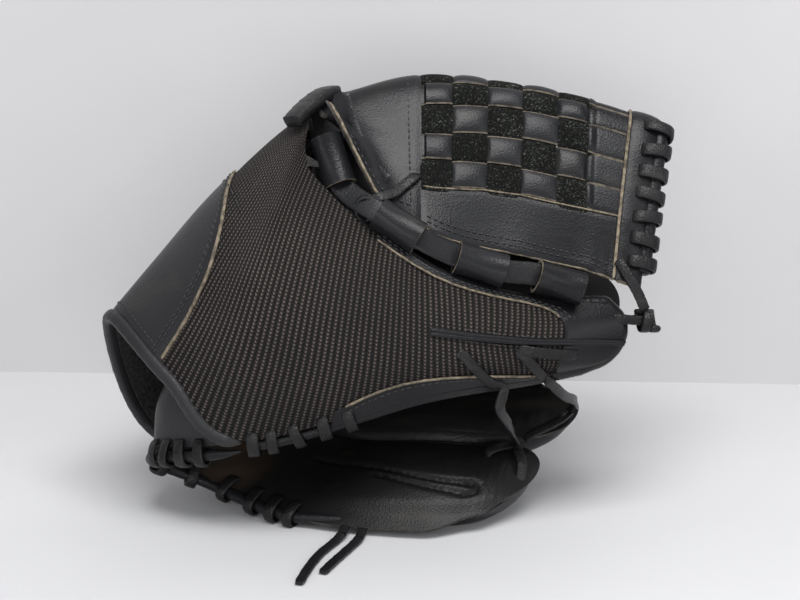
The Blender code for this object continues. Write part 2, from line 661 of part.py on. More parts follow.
def make_laces():
    lift = LACE_THICK / 2 + SEAT + 0.3
    u, v = np.array([1.72, 1.6, 1.48]), np.array([0.36, 0.22, 0.08])
    on_thumb = back.lifted(u, v, np.full(3, lift + 1.0))
    points = np.vstack([on_thumb, [(50, -60, 76), (56, -59, 66), (61, -54, 55)]])
    flats = np.vstack([back.normal(u, v), [(0.3, -1, -0.2), (0.3, -1, 0), (0.3, -1, 0.3)]])
    loose_lace("thumb_tie_lace", points, flats, 18)
    u, v = np.array([0.6, 0.9, 1.14]), np.array([0.3, 0.33, 0.33])
    on_thumb = back.lifted(u, v, np.full(3, lift))
    loose_lace("thumb_face_lace", on_thumb, back.normal(u, v), 8)
    loose_lace("crotch_lace", [(-30, 17.3, 219.4), (-39, 6.3, 215.4), (-49, -7.7, 208.4)], [(-0.5, -0.4, 0.8)] * 3, 8, 9, 5)
    on_web = web.lifted(np.array([0.93, 0.6]), np.array([0.12, flap(0.6)]), np.full(2, WEB_HIDE / 2 + lift + 0.2))
    loose_lace("web_tie_lace", np.vstack([on_web, (-10.8, -25.8, 173.0)]), [(-0.2, -1, 0.7)] * 3, 8)
    loose_lace("corner_lace", [(119.5, -21.9, 137.4), (126, -28, 126), (131, -27.5, 115.4)], [(0, -1, 0.2)] * 3, 8)
    tube("corner_knot", (125, -27, 108), (139, -27, 108), 6.0, 3.0, "lace", 10)
    loose_lace("lace_tail_left", [(-24.6, -59.9, 3.3), (-35, -80, 1.4), (-44, -114, 1.4)], [(0, 0, 1)] * 3, 10)
    loose_lace("lace_tail_right", [(-15.6, -62.6, 2.3), (-23, -79, 1.4), (-33, -102, 1.4)], [(0, 0, 1)] * 3, 10)


clear_scene()
palm = palm_sheet()
hide_back = back_sheet()
make_palm(palm)
make_thumb_inside(thumb_sheet())
make_fingers(palm)
make_thumb_back(hide_back)
make_hand_back(hide_back)
make_crotch_gusset()
make_binding(hide_back)
make_thumb_edge(hide_back)
make_heel(palm)
make_web()
make_tunnels()
make_laces()
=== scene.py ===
"""The look of a black leather fielder's glove, closed and lying on its little-finger side."""

import math

import bpy
import numpy as np
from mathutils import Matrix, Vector


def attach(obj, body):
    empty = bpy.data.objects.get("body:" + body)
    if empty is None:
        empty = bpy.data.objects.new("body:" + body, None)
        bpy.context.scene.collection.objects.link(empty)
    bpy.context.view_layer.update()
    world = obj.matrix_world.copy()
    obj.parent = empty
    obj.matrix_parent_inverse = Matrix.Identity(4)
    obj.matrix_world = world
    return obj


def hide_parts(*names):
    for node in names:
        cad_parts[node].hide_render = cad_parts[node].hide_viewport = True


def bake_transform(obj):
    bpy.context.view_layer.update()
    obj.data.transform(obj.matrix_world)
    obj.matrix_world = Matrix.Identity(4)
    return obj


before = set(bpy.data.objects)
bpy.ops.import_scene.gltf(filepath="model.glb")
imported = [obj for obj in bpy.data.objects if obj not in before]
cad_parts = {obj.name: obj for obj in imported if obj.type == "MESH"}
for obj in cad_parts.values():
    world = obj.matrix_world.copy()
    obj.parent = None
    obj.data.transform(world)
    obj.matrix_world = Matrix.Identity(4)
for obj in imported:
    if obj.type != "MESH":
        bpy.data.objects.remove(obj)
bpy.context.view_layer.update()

MM = 0.001
# The place that becomes the origin of the resting frame
REST = np.array((0.0, -30.0, 0.0))

# Thicknesses and sizes, in millimetres
HIDE = 2.4
CLOTH = 1.8
LINING = 1.4
FELT = 4.0
LACE_WIDTH = 5.4
LACE_THICK = 2.1
STITCH_PITCH = 3.4
TUNNEL_RADIUS = 8.8
TUNNEL_WALL = 1.5
STRIP_THICK = 1.3
BAND_THICK = 2.4
ROLL_CENTRE = 3.4  # lowest the heel's roll may lie over the table

# The knit's ribs and rows of loops, in metres
RIB_PITCH = 0.0030
LOOP_PITCH = 0.0019

# The photo's camera
LENS = 80.66
SENSOR = 36
CAMERA_PLACE = (0.0053, -0.8785, 0.3887)
CAMERA_TILT = 73

# Fingers across the palm, and how deep each is behind it at its root and at its tip
FINGER_BORDERS = np.array((0.0, 0.27, 0.51, 0.76, 1.0))
FINGERS = ("pinky", "ring", "middle", "index")
STALL_DEPTHS = (31.0, 46.0, 25.0, 25.0)
TIP_DEPTHS = (24.0, 24.0, 17.0, 17.0)
# Ends of the line that the palm folds on
FOLD_LOW = np.array((-76.0, -49.0, 50.0))
FOLD_HIGH = np.array((-34.0, -11.0, 174.0))

# Section points of the hide, from the open edge of the pocket to the web
POCKET = (
    ((98, -31, 84), (112, -27, 90), (119, -23, 98), (119, -21, 107), (112, -19, 114)),
    ((72, -37, 81), (72, -34, 91), (71, -31, 101), (72, -28, 111), (72, -27, 118)),
    ((19, -48, 77), (19, -42, 93), (19, -38, 109), (19, -35, 124), (19, -34, 137)),
    tuple(tuple(FOLD_LOW + (FOLD_HIGH - FOLD_LOW) * share) for share in (0, 0.25, 0.5, 0.75, 1)),
    ((-122, -22, 34), (-98, -6, 84), (-72, 5, 130), (-54, 9, 162), (-36, 12, 184)),
    ((-98, -8, 16), (-86, 28, 46), (-76, 42, 90), (-62, 42, 135), (-38, 36, 184)),
    ((-48, -40, 9), (-30, 6, 30), (-20, 48, 56), (-15, 55, 122), (-8, 44, 182)),
    ((18, -55, 8), (28, -8, 33), (36, 44, 48), (42, 53, 122), (48, 44, 180)),
    ((64, -50, 13), (88, -4, 27), (113, 36, 50), (134, 44, 118), (138, 36, 166)),
)
BACK = (
    ((100, -38, 87), (114, -36, 91), (122, -32, 99), (122, -29, 109), (114, -25, 117)),
    ((72, -44, 83), (72, -50, 92), (71, -50, 103), (72, -44, 113), (72, -35, 121)),
    ((19, -56, 79), (19, -62, 96), (19, -60, 113), (19, -53, 129), (19, -43, 140)),
    ((-76, -58, 54), (-63, -70, 97), (-54, -66, 133), (-45, -47, 163), (-37, -22, 182)),
    ((-113, -45, 85), (-96, -48, 115), (-77, -42, 151), (-58, -26, 183), (-42, -4, 207)),
    ((-148, 0, 103), (-123, 5, 132), (-96, 8, 163), (-67, 10, 191), (-43, 14, 210)),
    ((-134, 26, 32), (-116, 58, 70), (-98, 68, 112), (-76, 64, 152), (-48, 50, 192)),
    ((-62, 0, 4), (-44, 38, 16), (-28, 76, 62), (-22, 83, 126), (-16, 70, 180)),
)
WEB = (
    ((-20, -4, 200), (-26, 8, 208), (-30, 20, 215), (-30, 30, 213), (-28, 36, 208)),
    ((16, -20, 168), (16, -1, 193), (16, 26, 223), (16, 45, 215), (16, 52, 206)),
    ((60, -20, 151), (62, -2, 179), (64, 28, 218), (64, 47, 209), (64, 54, 200)),
    ((100, -19, 141), (101, -2, 170), (104, 27, 210), (104, 45, 201), (104, 51, 191)),
    ((117, -18, 138), (121, -2, 165), (128, 26, 203), (128, 43, 194), (128, 48, 185)),
    ((136, -16, 132), (141, 0, 159), (149, 25, 196), (149, 41, 187), (149, 46, 179)),
)
FRONT_TUNNELS = (
    ((-33, -8, 200), (-25, -19, 178)),
    ((-6, -33.4, 166.8), (15, -38.4, 154.8)),
    ((34, -37, 145), (58, -36, 137)),
    ((75, -33, 134), (98, -31, 126)),
)
REAR_TUNNELS = (
    ((-20, 53, 202), (2, 58, 202)),
    ((14, 60.5, 199.5), (38, 60.5, 197.5)),
    ((56, 60.7, 193.6), (80, 59.7, 190.6)),
    ((96, 59.6, 187), (120, 56.6, 182)),
)


# Surfaces

def curve_weights(where, count):
    """Which four points of a smooth curve count at each place, and how much."""
    piece = np.clip(np.floor(where).astype(int), 0, count - 2)
    t = where - piece
    weights = 0.5 * np.stack([
        -t + 2 * t**2 - t**3,
        2 - 5 * t**2 + 3 * t**3,
        t + 4 * t**2 - 3 * t**3,
        -t**2 + t**3,
    ], -1)
    return piece, weights


def padded_ends(points):
    """The points with one more at each end, straight on."""
    return np.concatenate([2 * points[:1] - points[1:2], points, 2 * points[-1:] - points[-2:-1]])


def spline(points, where):
    points = np.asarray(points, float)
    where = np.asarray(where, float)
    piece, weights = curve_weights(where, len(points))
    ends = padded_ends(points)
    return sum(weights[..., k, None] * ends[piece + k] for k in range(4))


class Surface:
    """A smooth sheet through a net of section points: u counts sections, v runs from 0 to 1."""

    def __init__(self, net, side):
        net = np.array(net, float)
        self.shape = net.shape[:2]
        self.net = padded_ends(np.swapaxes(padded_ends(net), 0, 1)).swapaxes(0, 1)
        self.side = side

    def point(self, u, v):
        u, v = np.broadcast_arrays(np.asarray(u, float), np.asarray(v, float))
        i, a = curve_weights(u, self.shape[0])
        j, b = curve_weights(v * (self.shape[1] - 1), self.shape[1])
        total = 0
        for k in range(4):
            for m in range(4):
                total = total + (a[..., k] * b[..., m])[..., None] * self.net[i + k, j + m]
        return total

    def normal(self, u, v):
        step = 0.004
        along = self.point(np.add(u, step), v) - self.point(np.subtract(u, step), v)
        across = self.point(u, np.add(v, step)) - self.point(u, np.subtract(v, step))
        n = np.cross(along, across) * self.side
        return n / np.linalg.norm(n, axis=-1, keepdims=True)

    def lifted(self, u, v, height):
        u, v = np.broadcast_arrays(np.asarray(u, float), np.asarray(v, float))
        height = np.broadcast_to(np.asarray(height, float), u.shape)
        return self.point(u, v) + self.normal(u, v) * height[..., None]


pocket = Surface(POCKET, 1)
back = Surface(BACK, -1)
web = Surface(WEB, 1)


def smooth(a, b, x):
    """0 before a, 1 after b, and an even ease between them."""
    t = np.clip((np.asarray(x, float) - a) / (b - a), 0, 1)
    return t * t * (3 - 2 * t)


# Materials

def add_node(tree, kind, settings=None, **inputs):
    """A shader node with its settings, and its inputs given as values or as outputs of other nodes."""
    node = tree.nodes.new(kind)
    for key, value in (settings or {}).items():
        setattr(node, key, value)
    for key, value in inputs.items():
        name = key.replace("_", " ")
        socket = node.inputs[int(key[1:])] if key[0] == "i" and key[1:].isdigit() else node.inputs[name]
        if isinstance(value, bpy.types.NodeSocket):
            tree.links.new(value, socket)
        else:
            socket.default_value = value
    return node


def new_material(name):
    made = bpy.data.materials.new(name)
    made.use_nodes = True
    tree = made.node_tree
    return made, tree, tree.nodes["Principled BSDF"]


def math_node(tree, operation, first, second=0.0):
    return add_node(tree, "ShaderNodeMath", {"operation": operation}, i0=first, i1=second).outputs[0]


def ramp(tree, value, stops):
    """A colour ramp from (place, colour) stops."""
    node = add_node(tree, "ShaderNodeValToRGB", None, Fac=value)
    elements = node.color_ramp.elements
    while len(elements) < len(stops):
        elements.new(0.5)
    for element, (place, colour) in zip(elements, stops):
        element.position = place
        element.color = (*colour, 1)
    return node.outputs["Color"]


def noise(tree, where, scale, detail=3.0, roughness=0.5):
    return add_node(tree, "ShaderNodeTexNoise", None, Vector=where, Scale=scale, Detail=detail,
                    Roughness=roughness).outputs["Fac"]


def object_place(tree):
    return add_node(tree, "ShaderNodeTexCoord").outputs["Object"]


def set_shader(tree, shader, colour, roughness, normal=None, gloss=None):
    """Connects a finished colour, roughness and surface to the shader."""
    tree.links.new(colour, shader.inputs["Base Color"])
    shader.inputs["Roughness"].default_value = roughness
    if normal is not None:
        tree.links.new(normal, shader.inputs["Normal"])
    if gloss is not None:
        shader.inputs["Specular IOR Level"].default_value = gloss


def bump(tree, height, strength, distance, after=None):
    made = add_node(tree, "ShaderNodeBump", None, Height=height, Strength=strength, Distance=distance)
    if after is not None:
        tree.links.new(after, made.inputs["Normal"])
    return made.outputs["Normal"]


def leather(name, dark, light, roughness, grain, grain_depth, crease, wear=(0.05, 0.046, 0.038), rubbed_at=None,
            gloss=0.27):
    """Grained hide: pebbles, long soft creases, patchy colour and rubbed high spots.
    rubbed_at is the place of a bronze patch where the dye has gone."""
    made, tree, shader = new_material(name)
    where = object_place(tree)
    broad = noise(tree, where, 14, 4)
    cells = add_node(tree, "ShaderNodeTexVoronoi", {"feature": "SMOOTH_F1"}, Vector=where, Scale=float(grain),
                     Smoothness=0.35).outputs["Distance"]
    fine = noise(tree, where, grain * 1.7, 2)
    stretched = add_node(tree, "ShaderNodeMapping", None, Vector=where, Scale=(0.45, 1.0, 1.6)).outputs[0]
    folds = add_node(tree, "ShaderNodeTexNoise", None, Vector=stretched, Scale=46.0, Detail=2.5, Roughness=0.45,
                     Distortion=0.4).outputs["Fac"]
    colour = ramp(tree, broad, [(0.3, dark), (0.7, light)])
    rubbed = ramp(tree, folds, [(0.60, (0, 0, 0)), (0.78, (1, 1, 1))])
    mixed = add_node(tree, "ShaderNodeMix", {"data_type": "RGBA"}, i0=math_node(tree, "MULTIPLY", rubbed, 0.35),
                     i6=colour, i7=(*wear, 1)).outputs[2]
    if rubbed_at:
        mixed = bronze_patch(tree, where, folds, mixed, rubbed_at)
    tree.links.new(mixed, shader.inputs["Base Color"])
    sheen = math_node(tree, "MULTIPLY_ADD", broad, 0.22)
    sheen.node.inputs[2].default_value = roughness - 0.11
    tree.links.new(sheen, shader.inputs["Roughness"])
    pebble = math_node(tree, "MULTIPLY_ADD", cells, 0.75)
    tree.links.new(math_node(tree, "MULTIPLY", fine, 0.35), pebble.node.inputs[2])
    first = bump(tree, folds, crease, 0.0016)
    tree.links.new(bump(tree, pebble, grain_depth, 0.0006, first), shader.inputs["Normal"])
    shader.inputs["Specular IOR Level"].default_value = gloss
    return made


def bronze_patch(tree, where, folds, colour, place):
    away = add_node(tree, "ShaderNodeVectorMath", {"operation": "DISTANCE"}, i0=where, i1=place).outputs["Value"]
    near = add_node(tree, "ShaderNodeMapRange", None, i0=away, i1=0.026, i2=0.004, i3=0.0, i4=0.65).outputs[0]
    share = math_node(tree, "MULTIPLY", near, ramp(tree, folds, [(0.3, (0.2, 0.2, 0.2)), (0.6, (1, 1, 1))]))
    return add_node(tree, "ShaderNodeMix", {"data_type": "RGBA"}, i0=share, i6=colour,
                    i7=(0.10, 0.066, 0.045, 1)).outputs[2]


def knit_cloth(name):
    """Knitted back cloth: upright ribs of small v-shaped loops. UV is in metres."""
    made, tree, shader = new_material(name)
    where = add_node(tree, "ShaderNodeTexCoord").outputs["UV"]
    split = add_node(tree, "ShaderNodeSeparateXYZ", None, Vector=where)
    across = math_node(tree, "MULTIPLY", split.outputs["X"], 1 / RIB_PITCH)
    up = math_node(tree, "MULTIPLY", split.outputs["Y"], 1 / LOOP_PITCH)
    side = math_node(tree, "PINGPONG", across, 0.5)
    lean = math_node(tree, "MULTIPLY", side, 1.1)
    loops = math_node(tree, "PINGPONG", math_node(tree, "ADD", up, lean), 0.5)
    rib = math_node(tree, "POWER", math_node(tree, "MULTIPLY", side, 2.0), 0.85)
    round_loop = math_node(tree, "POWER", math_node(tree, "MULTIPLY", loops, 2.0), 0.8)
    loop = math_node(tree, "MULTIPLY_ADD", round_loop, 0.62)
    loop.node.inputs[2].default_value = 0.38
    height = math_node(tree, "MULTIPLY", rib, loop)
    fibre = noise(tree, object_place(tree), 2600, 2)
    broad = noise(tree, object_place(tree), 22, 3)
    # Colour follows the loops' height: a painted highlight on each loop's crest and painted shade in the hollows
    # between loops, plus fibre and broad tone noise.
    painted_light_and_tone = math_node(tree, "ADD", math_node(tree, "MULTIPLY", height, 0.75), math_node(tree, "MULTIPLY", fibre, 0.3))
    painted_light_and_tone = math_node(tree, "ADD", painted_light_and_tone, math_node(tree, "MULTIPLY", math_node(tree, "SUBTRACT", broad, 0.5), 0.25))
    # The darkest stop is painted shade between the loops, the brightest a painted highlight on their crests.
    colour = ramp(tree, painted_light_and_tone, [(0.28, (0.003, 0.0023, 0.002)), (0.54, (0.015, 0.012, 0.0106)),
                                (0.92, (0.15, 0.127, 0.117))])
    total = math_node(tree, "ADD", height, math_node(tree, "MULTIPLY", fibre, 0.12))
    set_shader(tree, shader, colour, 0.72, bump(tree, total, 0.85, 0.0011), 0.25)
    return made


def suede(name):
    """Napped hide, matt, with short pale fibres and green-black patches."""
    made, tree, shader = new_material(name)
    where = object_place(tree)
    nap = noise(tree, where, 950, 5, 0.75)
    patch = noise(tree, where, 60, 3)
    both = math_node(tree, "ADD", math_node(tree, "MULTIPLY", nap, 0.86), math_node(tree, "MULTIPLY", patch, 0.14))
    colour = ramp(tree, both, [(0.42, (0.003, 0.0035, 0.003)), (0.56, (0.010, 0.011, 0.0095)),
                               (0.68, (0.15, 0.155, 0.135))])
    set_shader(tree, shader, colour, 0.95, bump(tree, nap, 0.8, 0.0008), 0.12)
    return made


def raw_edge(name, colour):
    """Cut edge of tanned hide: pale, fibrous, with dark dye that ran into it."""
    made, tree, shader = new_material(name)
    where = object_place(tree)
    blotch = noise(tree, where, 260, 4, 0.65)
    dark = tuple(c * 0.28 for c in colour)
    fibres = bump(tree, noise(tree, where, 2200, 2), 0.5, 0.0004)
    set_shader(tree, shader, ramp(tree, blotch, [(0.36, dark), (0.6, colour)]), 0.85, fibres)
    return made


def fleece(name):
    """Fuzzy lining."""
    made, tree, shader = new_material(name)
    where = object_place(tree)
    tufts = noise(tree, where, 420, 5, 0.7)
    colour = ramp(tree, tufts, [(0.35, (0.004, 0.004, 0.004)), (0.7, (0.05, 0.047, 0.044))])
    set_shader(tree, shader, colour, 1.0, bump(tree, tufts, 1.0, 0.0016))
    return made


def thread(name):
    made, tree, shader = new_material(name)
    where = object_place(tree)
    twist = noise(tree, where, 1800, 1)
    set_shader(tree, shader, ramp(tree, twist, [(0.3, (0.010, 0.010, 0.011)), (0.7, (0.038, 0.038, 0.040))]), 0.6)
    return made


BLACK_HIDE = leather("black_hide", (0.006, 0.006, 0.007), (0.015, 0.0153, 0.017), 0.33, 1050, 0.2, 0.2, gloss=0.23)
PALM_HIDE = leather("oiled_palm_hide", (0.006, 0.006, 0.006), (0.014, 0.0137, 0.0132), 0.36, 950, 0.22, 0.2,
                    (0.05, 0.041, 0.030), (-0.084, 0.030, 0.022), gloss=0.18)
STRAP_HIDE = leather("strap_hide", (0.014, 0.014, 0.015), (0.028, 0.028, 0.0305), 0.42, 1000, 0.32, 0.16)
LACE_HIDE = leather("lace_rawhide", (0.005, 0.005, 0.0055), (0.015, 0.015, 0.016), 0.38, 1000, 0.5, 0.45,
                    (0.06, 0.057, 0.05))
STRIP_EDGE = raw_edge("strip_cut_edge", (0.13, 0.107, 0.078))
KNIT = knit_cloth("knit_cloth")
SUEDE = suede("napped_suede")
TAN_EDGE = raw_edge("tan_cut_edge", (0.25, 0.205, 0.145))
DARK_EDGE = raw_edge("dark_cut_edge", (0.06, 0.053, 0.046))
FLEECE = fleece("wrist_fleece")
THREAD = thread("dark_thread")
FELT_PAD = raw_edge("palm_felt", (0.45, 0.42, 0.38))


# Building pieces

def deselect_all():
    for other in bpy.context.selected_objects:
        other.select_set(False)


def select_only(piece):
    deselect_all()
    piece.select_set(True)
    bpy.context.view_layer.objects.active = piece


def apply_modifiers(piece):
    select_only(piece)
    for modifier in list(piece.modifiers):
        bpy.ops.object.modifier_apply(modifier=modifier.name)


def new_grid(name, columns, rows):
    """A flat grid, and where each of its points lies along and across it, from 0 to 1."""
    deselect_all()
    bpy.ops.mesh.primitive_grid_add(x_subdivisions=columns, y_subdivisions=rows, size=2, calc_uvs=True)
    piece = bpy.context.object
    piece.name = name
    flat = np.empty(len(piece.data.vertices) * 3)
    piece.data.vertices.foreach_get("co", flat)
    flat = flat.reshape(-1, 3)
    return piece, (flat[:, 0] + 1) / 2, (flat[:, 1] + 1) / 2


def set_points(piece, points):
    """Moves the mesh's points to places in millimetres, before the move to the resting frame."""
    placed = (np.asarray(points) - REST) * MM
    piece.data.vertices.foreach_set("co", placed.ravel())
    piece.data.update()


def set_uv(piece, values):
    corners = np.empty(len(piece.data.loops), int)
    piece.data.loops.foreach_get("vertex_index", corners)
    layer = piece.data.uv_layers.active or piece.data.uv_layers.new(name="UVMap")
    layer.data.foreach_set("uv", np.asarray(values, float)[corners].ravel())


def distances(line):
    """How far along a line each of its points lies."""
    return np.concatenate([[0], np.cumsum(np.linalg.norm(np.diff(line, axis=0), axis=1))])


def distance_share(line):
    """The same distances, from 0 to 1."""
    far = distances(line)
    return far / far[-1]


def lengths_on(surface, u, v):
    """Real lengths along and across a surface at its places, in metres, as a UV map."""
    sections = np.linspace(-0.5, surface.shape[0] - 0.5, 120)
    along = distances(surface.point(sections, 0.5))
    shares = np.linspace(-0.5, 1.5, 81)
    net = surface.point(*np.meshgrid(sections, shares, indexing="ij"))
    across = np.cumsum(np.linalg.norm(np.diff(net, axis=1), axis=2), axis=1)
    across = np.concatenate([np.zeros((len(sections), 1)), across], 1)
    across -= across[:, [len(shares) // 2]]
    i = np.clip((u + 0.5) / (sections[1] - sections[0]), 0, len(sections) - 1.001)
    j = np.clip((v + 0.5) / (shares[1] - shares[0]), 0, len(shares) - 1.001)
    low, left = i.astype(int), j.astype(int)
    a, b = i - low, j - left
    wide = (across[low, left] * (1 - a) * (1 - b) + across[low + 1, left] * a * (1 - b)
            + across[low, left + 1] * (1 - a) * b + across[low + 1, left + 1] * a * b)
    return np.stack([np.interp(u, sections, along), wide], 1) * MM


def panel(name, surface, cuts, place, thick, finish, edge=None, worn=0.0):
    """A sheet of hide laid on a surface. place turns (s, t) into (u, v, lift); thick goes inwards.
    Faces nearer than worn to the long sides show the raw edge."""
    piece, s, t = new_grid(name, *cuts)
    u, v, lift = (np.broadcast_to(np.asarray(part, float), s.shape) for part in place(s, t))
    set_points(piece, surface.lifted(u, v, lift))
    set_uv(piece, lengths_on(surface, u, v))
    flip_to(piece, surface.normal(u, v))
    thicken(piece, thick, finish, edge).use_even_offset = True
    if worn:
        for face in piece.data.polygons:
            middle = t[list(face.vertices)].mean()
            face.material_index = int(min(middle, 1 - middle) < worn)
    apply_modifiers(piece)
    soften(piece)
    return piece


def thicken(piece, thick, finish, edge=None, offset=-1):
    """Gives a sheet a wall, a finish, and a raw edge on its rim. Returns the wall, which is not yet applied."""
    wall = piece.modifiers.new("wall", "SOLIDIFY")
    wall.thickness = thick * MM
    wall.offset = offset
    piece.data.materials.append(finish)
    if edge is not None:
        piece.data.materials.append(edge)
        wall.material_offset_rim = 1
    return wall


def flip_to(piece, facing):
    """Turns the faces round where they point away from the given directions."""
    mesh = piece.data
    middle = mesh.polygons[len(mesh.polygons) // 2]
    if middle.normal.dot(Vector(facing[middle.vertices[0]])) < 0:
        mesh.flip_normals()


def soften(piece, angle=50):
    select_only(piece)
    bpy.ops.object.shade_smooth_by_angle(angle=math.radians(angle))


def from_points(name, points, faces, finish):
    mesh = bpy.data.meshes.new(name)
    mesh.from_pydata([tuple(p) for p in (np.asarray(points) - REST) * MM], [], faces)
    piece = bpy.data.objects.new(name, mesh)
    bpy.context.scene.collection.objects.link(piece)
    mesh.materials.append(finish)
    return piece


def along_line(points, spacing):
    """Evenly spaced places on a line of points, as shares of its point numbers."""
    far = distances(points)
    count = max(int(far[-1] / spacing), 2)
    return np.interp(np.linspace(0, far[-1], count), far, np.arange(len(points)))


def pick(values, where):
    """Values of a line at part numbers, straight between its points."""
    return np.stack([np.interp(where, np.arange(len(values)), values[:, k]) for k in range(values.shape[1])], 1)


# Cross-sections of full rolls and of flat bands
ROLL = {"squareness": 0.85, "wobble": 0.03}
BAND = {"squareness": 0.5}


def strap(name, line, flats, width, thick, finish, sides=12, squareness=0.45, wobble=0.0, taper=0.72, fade=0):
    """A lace or cord along a line: a grid rolled round it, with its flat side to the given normals or direction."""
    line, flats = np.asarray(line, float), np.asarray(flats, float)
    tangents = np.gradient(line, axis=0)
    tangents /= np.linalg.norm(tangents, axis=1, keepdims=True)
    side = np.cross(tangents, flats)
    side /= np.linalg.norm(side, axis=1, keepdims=True)
    up = np.cross(side, tangents)
    count = len(line)
    swell = np.ones(count)
    if wobble:
        swell += wobble * np.sin(np.arange(count) * 1.7 + width) * np.sin(np.arange(count) * 0.53 + 1.0)
    swell[[0, -1]] *= taper
    if fade:
        swell[:fade] *= np.sin(np.linspace(0.2, math.pi / 2, fade))
        swell[-fade:] *= np.sin(np.linspace(math.pi / 2, 0.2, fade))
    piece, s, t = new_grid(name, count - 1, sides)
    at = np.round(s * (count - 1)).astype(int)
    turn = t * 2 * math.pi
    x = np.sign(np.cos(turn)) * np.abs(np.cos(turn)) ** squareness * width / 2
    y = np.sign(np.sin(turn)) * np.abs(np.sin(turn)) ** squareness * thick / 2
    set_points(piece, line[at] + swell[at, None] * (x[:, None] * side[at] + y[:, None] * up[at]))
    far = distances(line)
    set_uv(piece, np.stack([far[at], t * 2 * (width + thick)], 1) * MM)
    piece.data.materials.append(finish)
    edit(piece)
    bpy.ops.mesh.remove_doubles(threshold=0.00001)
    bpy.ops.mesh.select_all(action="DESELECT")
    bpy.ops.mesh.select_non_manifold(extend=False)
    bpy.ops.mesh.fill_holes(sides=0)
    bpy.ops.mesh.select_all(action="SELECT")
    bpy.ops.mesh.normals_make_consistent(inside=False)
    bpy.ops.object.mode_set(mode="OBJECT")
    soften(piece, 60)
    return piece


def edit(piece):
    """Opens a piece for editing, with all of it picked."""
    select_only(piece)
    bpy.ops.object.mode_set(mode="EDIT")
    bpy.ops.mesh.select_all(action="SELECT")


def joined(name, pieces):
    """Several pieces as one."""
    deselect_all()
    for piece in pieces:
        piece.select_set(True)
    bpy.context.view_layer.objects.active = pieces[0]
    bpy.ops.object.join()
    pieces[0].name = name
    return pieces[0]


def loops(name, centres, outs, normals, reach, height, width=6.0, thick=LACE_THICK):
    """Turns of flat lace that each go straight round an edge, joined as one piece."""
    angle = np.linspace(-0.5 * math.pi, 1.55 * math.pi, 30)[:, None]
    pieces = []
    for number, (centre, out, normal) in enumerate(zip(centres, outs, normals)):
        a = np.sign(np.cos(angle)) * np.abs(np.cos(angle)) ** 0.75
        b = np.sign(np.sin(angle)) * np.abs(np.sin(angle)) ** 0.75
        lean = 0.12 * math.sin(number * 2.3)
        across = np.cross(out, normal)
        line = centre + out * a * reach + normal * b * height + across * lean * a * reach
        radial = np.cos(angle) * out / reach + np.sin(angle) * normal / height
        pieces.append(strap(f"{name}_{number}", line, radial, width * (1 + 0.06 * math.sin(number * 1.9)), thick,
                            LACE_HIDE, **BAND, taper=1.0))
    return joined(name, pieces)


def trim(name, surface, u, v, lift, width=1.15, thick=1.2):
    """The pale raw edge of a piece of hide."""
    where = along_line(surface.point(u, v), 2.2)
    u, v = np.interp(where, np.arange(len(u)), u), np.interp(where, np.arange(len(v)), v)
    rough = 0.16 * np.sin(np.arange(len(u)) * 2.1) * np.sin(np.arange(len(u)) * 0.77)
    line, normals = row_on(surface, u, v, lift + rough)
    return strap(name, line, normals, width, thick, TAN_EDGE, sides=8, squareness=0.7, wobble=0.12)


def face_out(piece):
    edit(piece)
    bpy.ops.mesh.normals_make_consistent(inside=False)
    bpy.ops.object.mode_set(mode="OBJECT")


STITCH_RING = ((-0.5, 0.35), (-0.28, 0.95), (0.28, 0.95), (0.5, 0.35))


def stitches(name, rows, length=2.3, thick=0.95):
    """Sewn rows: each stitch is a short plump capsule. rows hold (line, normals) pairs."""
    points, faces = [], []
    for line, normals in rows:
        where = along_line(line, STITCH_PITCH)
        centres, flats = pick(line, where), pick(normals, where)
        tangents = np.gradient(centres, axis=0)
        for centre, along, up in zip(centres, tangents, flats):
            along = along / np.linalg.norm(along)
            up = up / np.linalg.norm(up)
            side = np.cross(along, up)
            start = len(points)
            for place, swell in STITCH_RING:
                for k in range(6):
                    angle = k * math.pi / 3
                    offset = side * math.cos(angle) + up * math.sin(angle)
                    points.append(centre + along * place * length + offset * swell * thick / 2)
            faces.append(tuple(start + k for k in range(5, -1, -1)))
            faces.append(tuple(start + 18 + k for k in range(6)))
            for ring in range(3):
                for k in range(6):
                    a, b = start + ring * 6 + k, start + ring * 6 + (k + 1) % 6
                    faces.append((a, b, b + 6, a + 6))
    piece = from_points(name, points, faces, THREAD)
    face_out(piece)
    soften(piece, 80)
    return piece


def row_on(surface, u, v, lift):
    """A line on a surface, with its normals, for a row of stitches."""
    return surface.lifted(u, v, lift), surface.normal(u, v)


def keep(piece, body, slot, *nodes):
    """Puts a finished piece on its body, in place of its solids."""
    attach(piece, body)
    if nodes:
        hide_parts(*nodes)
    return piece


def bends(piece, bend, slot, *nodes):
    """For a piece where the glove bends between the hand and the thumb: hides its solids and bakes its place into its
    mesh.
    """
    if nodes:
        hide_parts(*nodes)
    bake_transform(piece)
    return piece


# Where bending pieces leave the hand, and where they are all on the thumb, in metres
FOLD_BEND = ((-0.098, 0.004, 0.120), (-0.012, -0.004, 0.104))
WEB_BEND = ((0.060, 0.078, 0.200), (0.060, 0.008, 0.150))
TIE_BEND = ((0.070, 0.018, 0.040), (0.058, -0.022, 0.076))


# Palm. Places u count the sections of the pocket: 0 is the thumb's tip, 3 the fold, 6 to 8 the fingers

def finger_share(v):
    finger = np.clip(np.searchsorted(FINGER_BORDERS, v, side="right") - 1, 0, 3)
    return (v - FINGER_BORDERS[finger]) / (FINGER_BORDERS[finger + 1] - FINGER_BORDERS[finger])


def tip_reach(v):
    return 7.62 + 0.38 * (1 - np.abs(2 * finger_share(v) - 1) ** 2.6)


def crown(u, v):
    """Fullness of each finger over the straight palm."""
    start = smooth(5.6, 6.5, u)
    ending = np.sqrt(np.clip((8.0 - u) / 0.3, 0, 1))
    return 4.0 * np.sin(math.pi * finger_share(v)) * start * ending


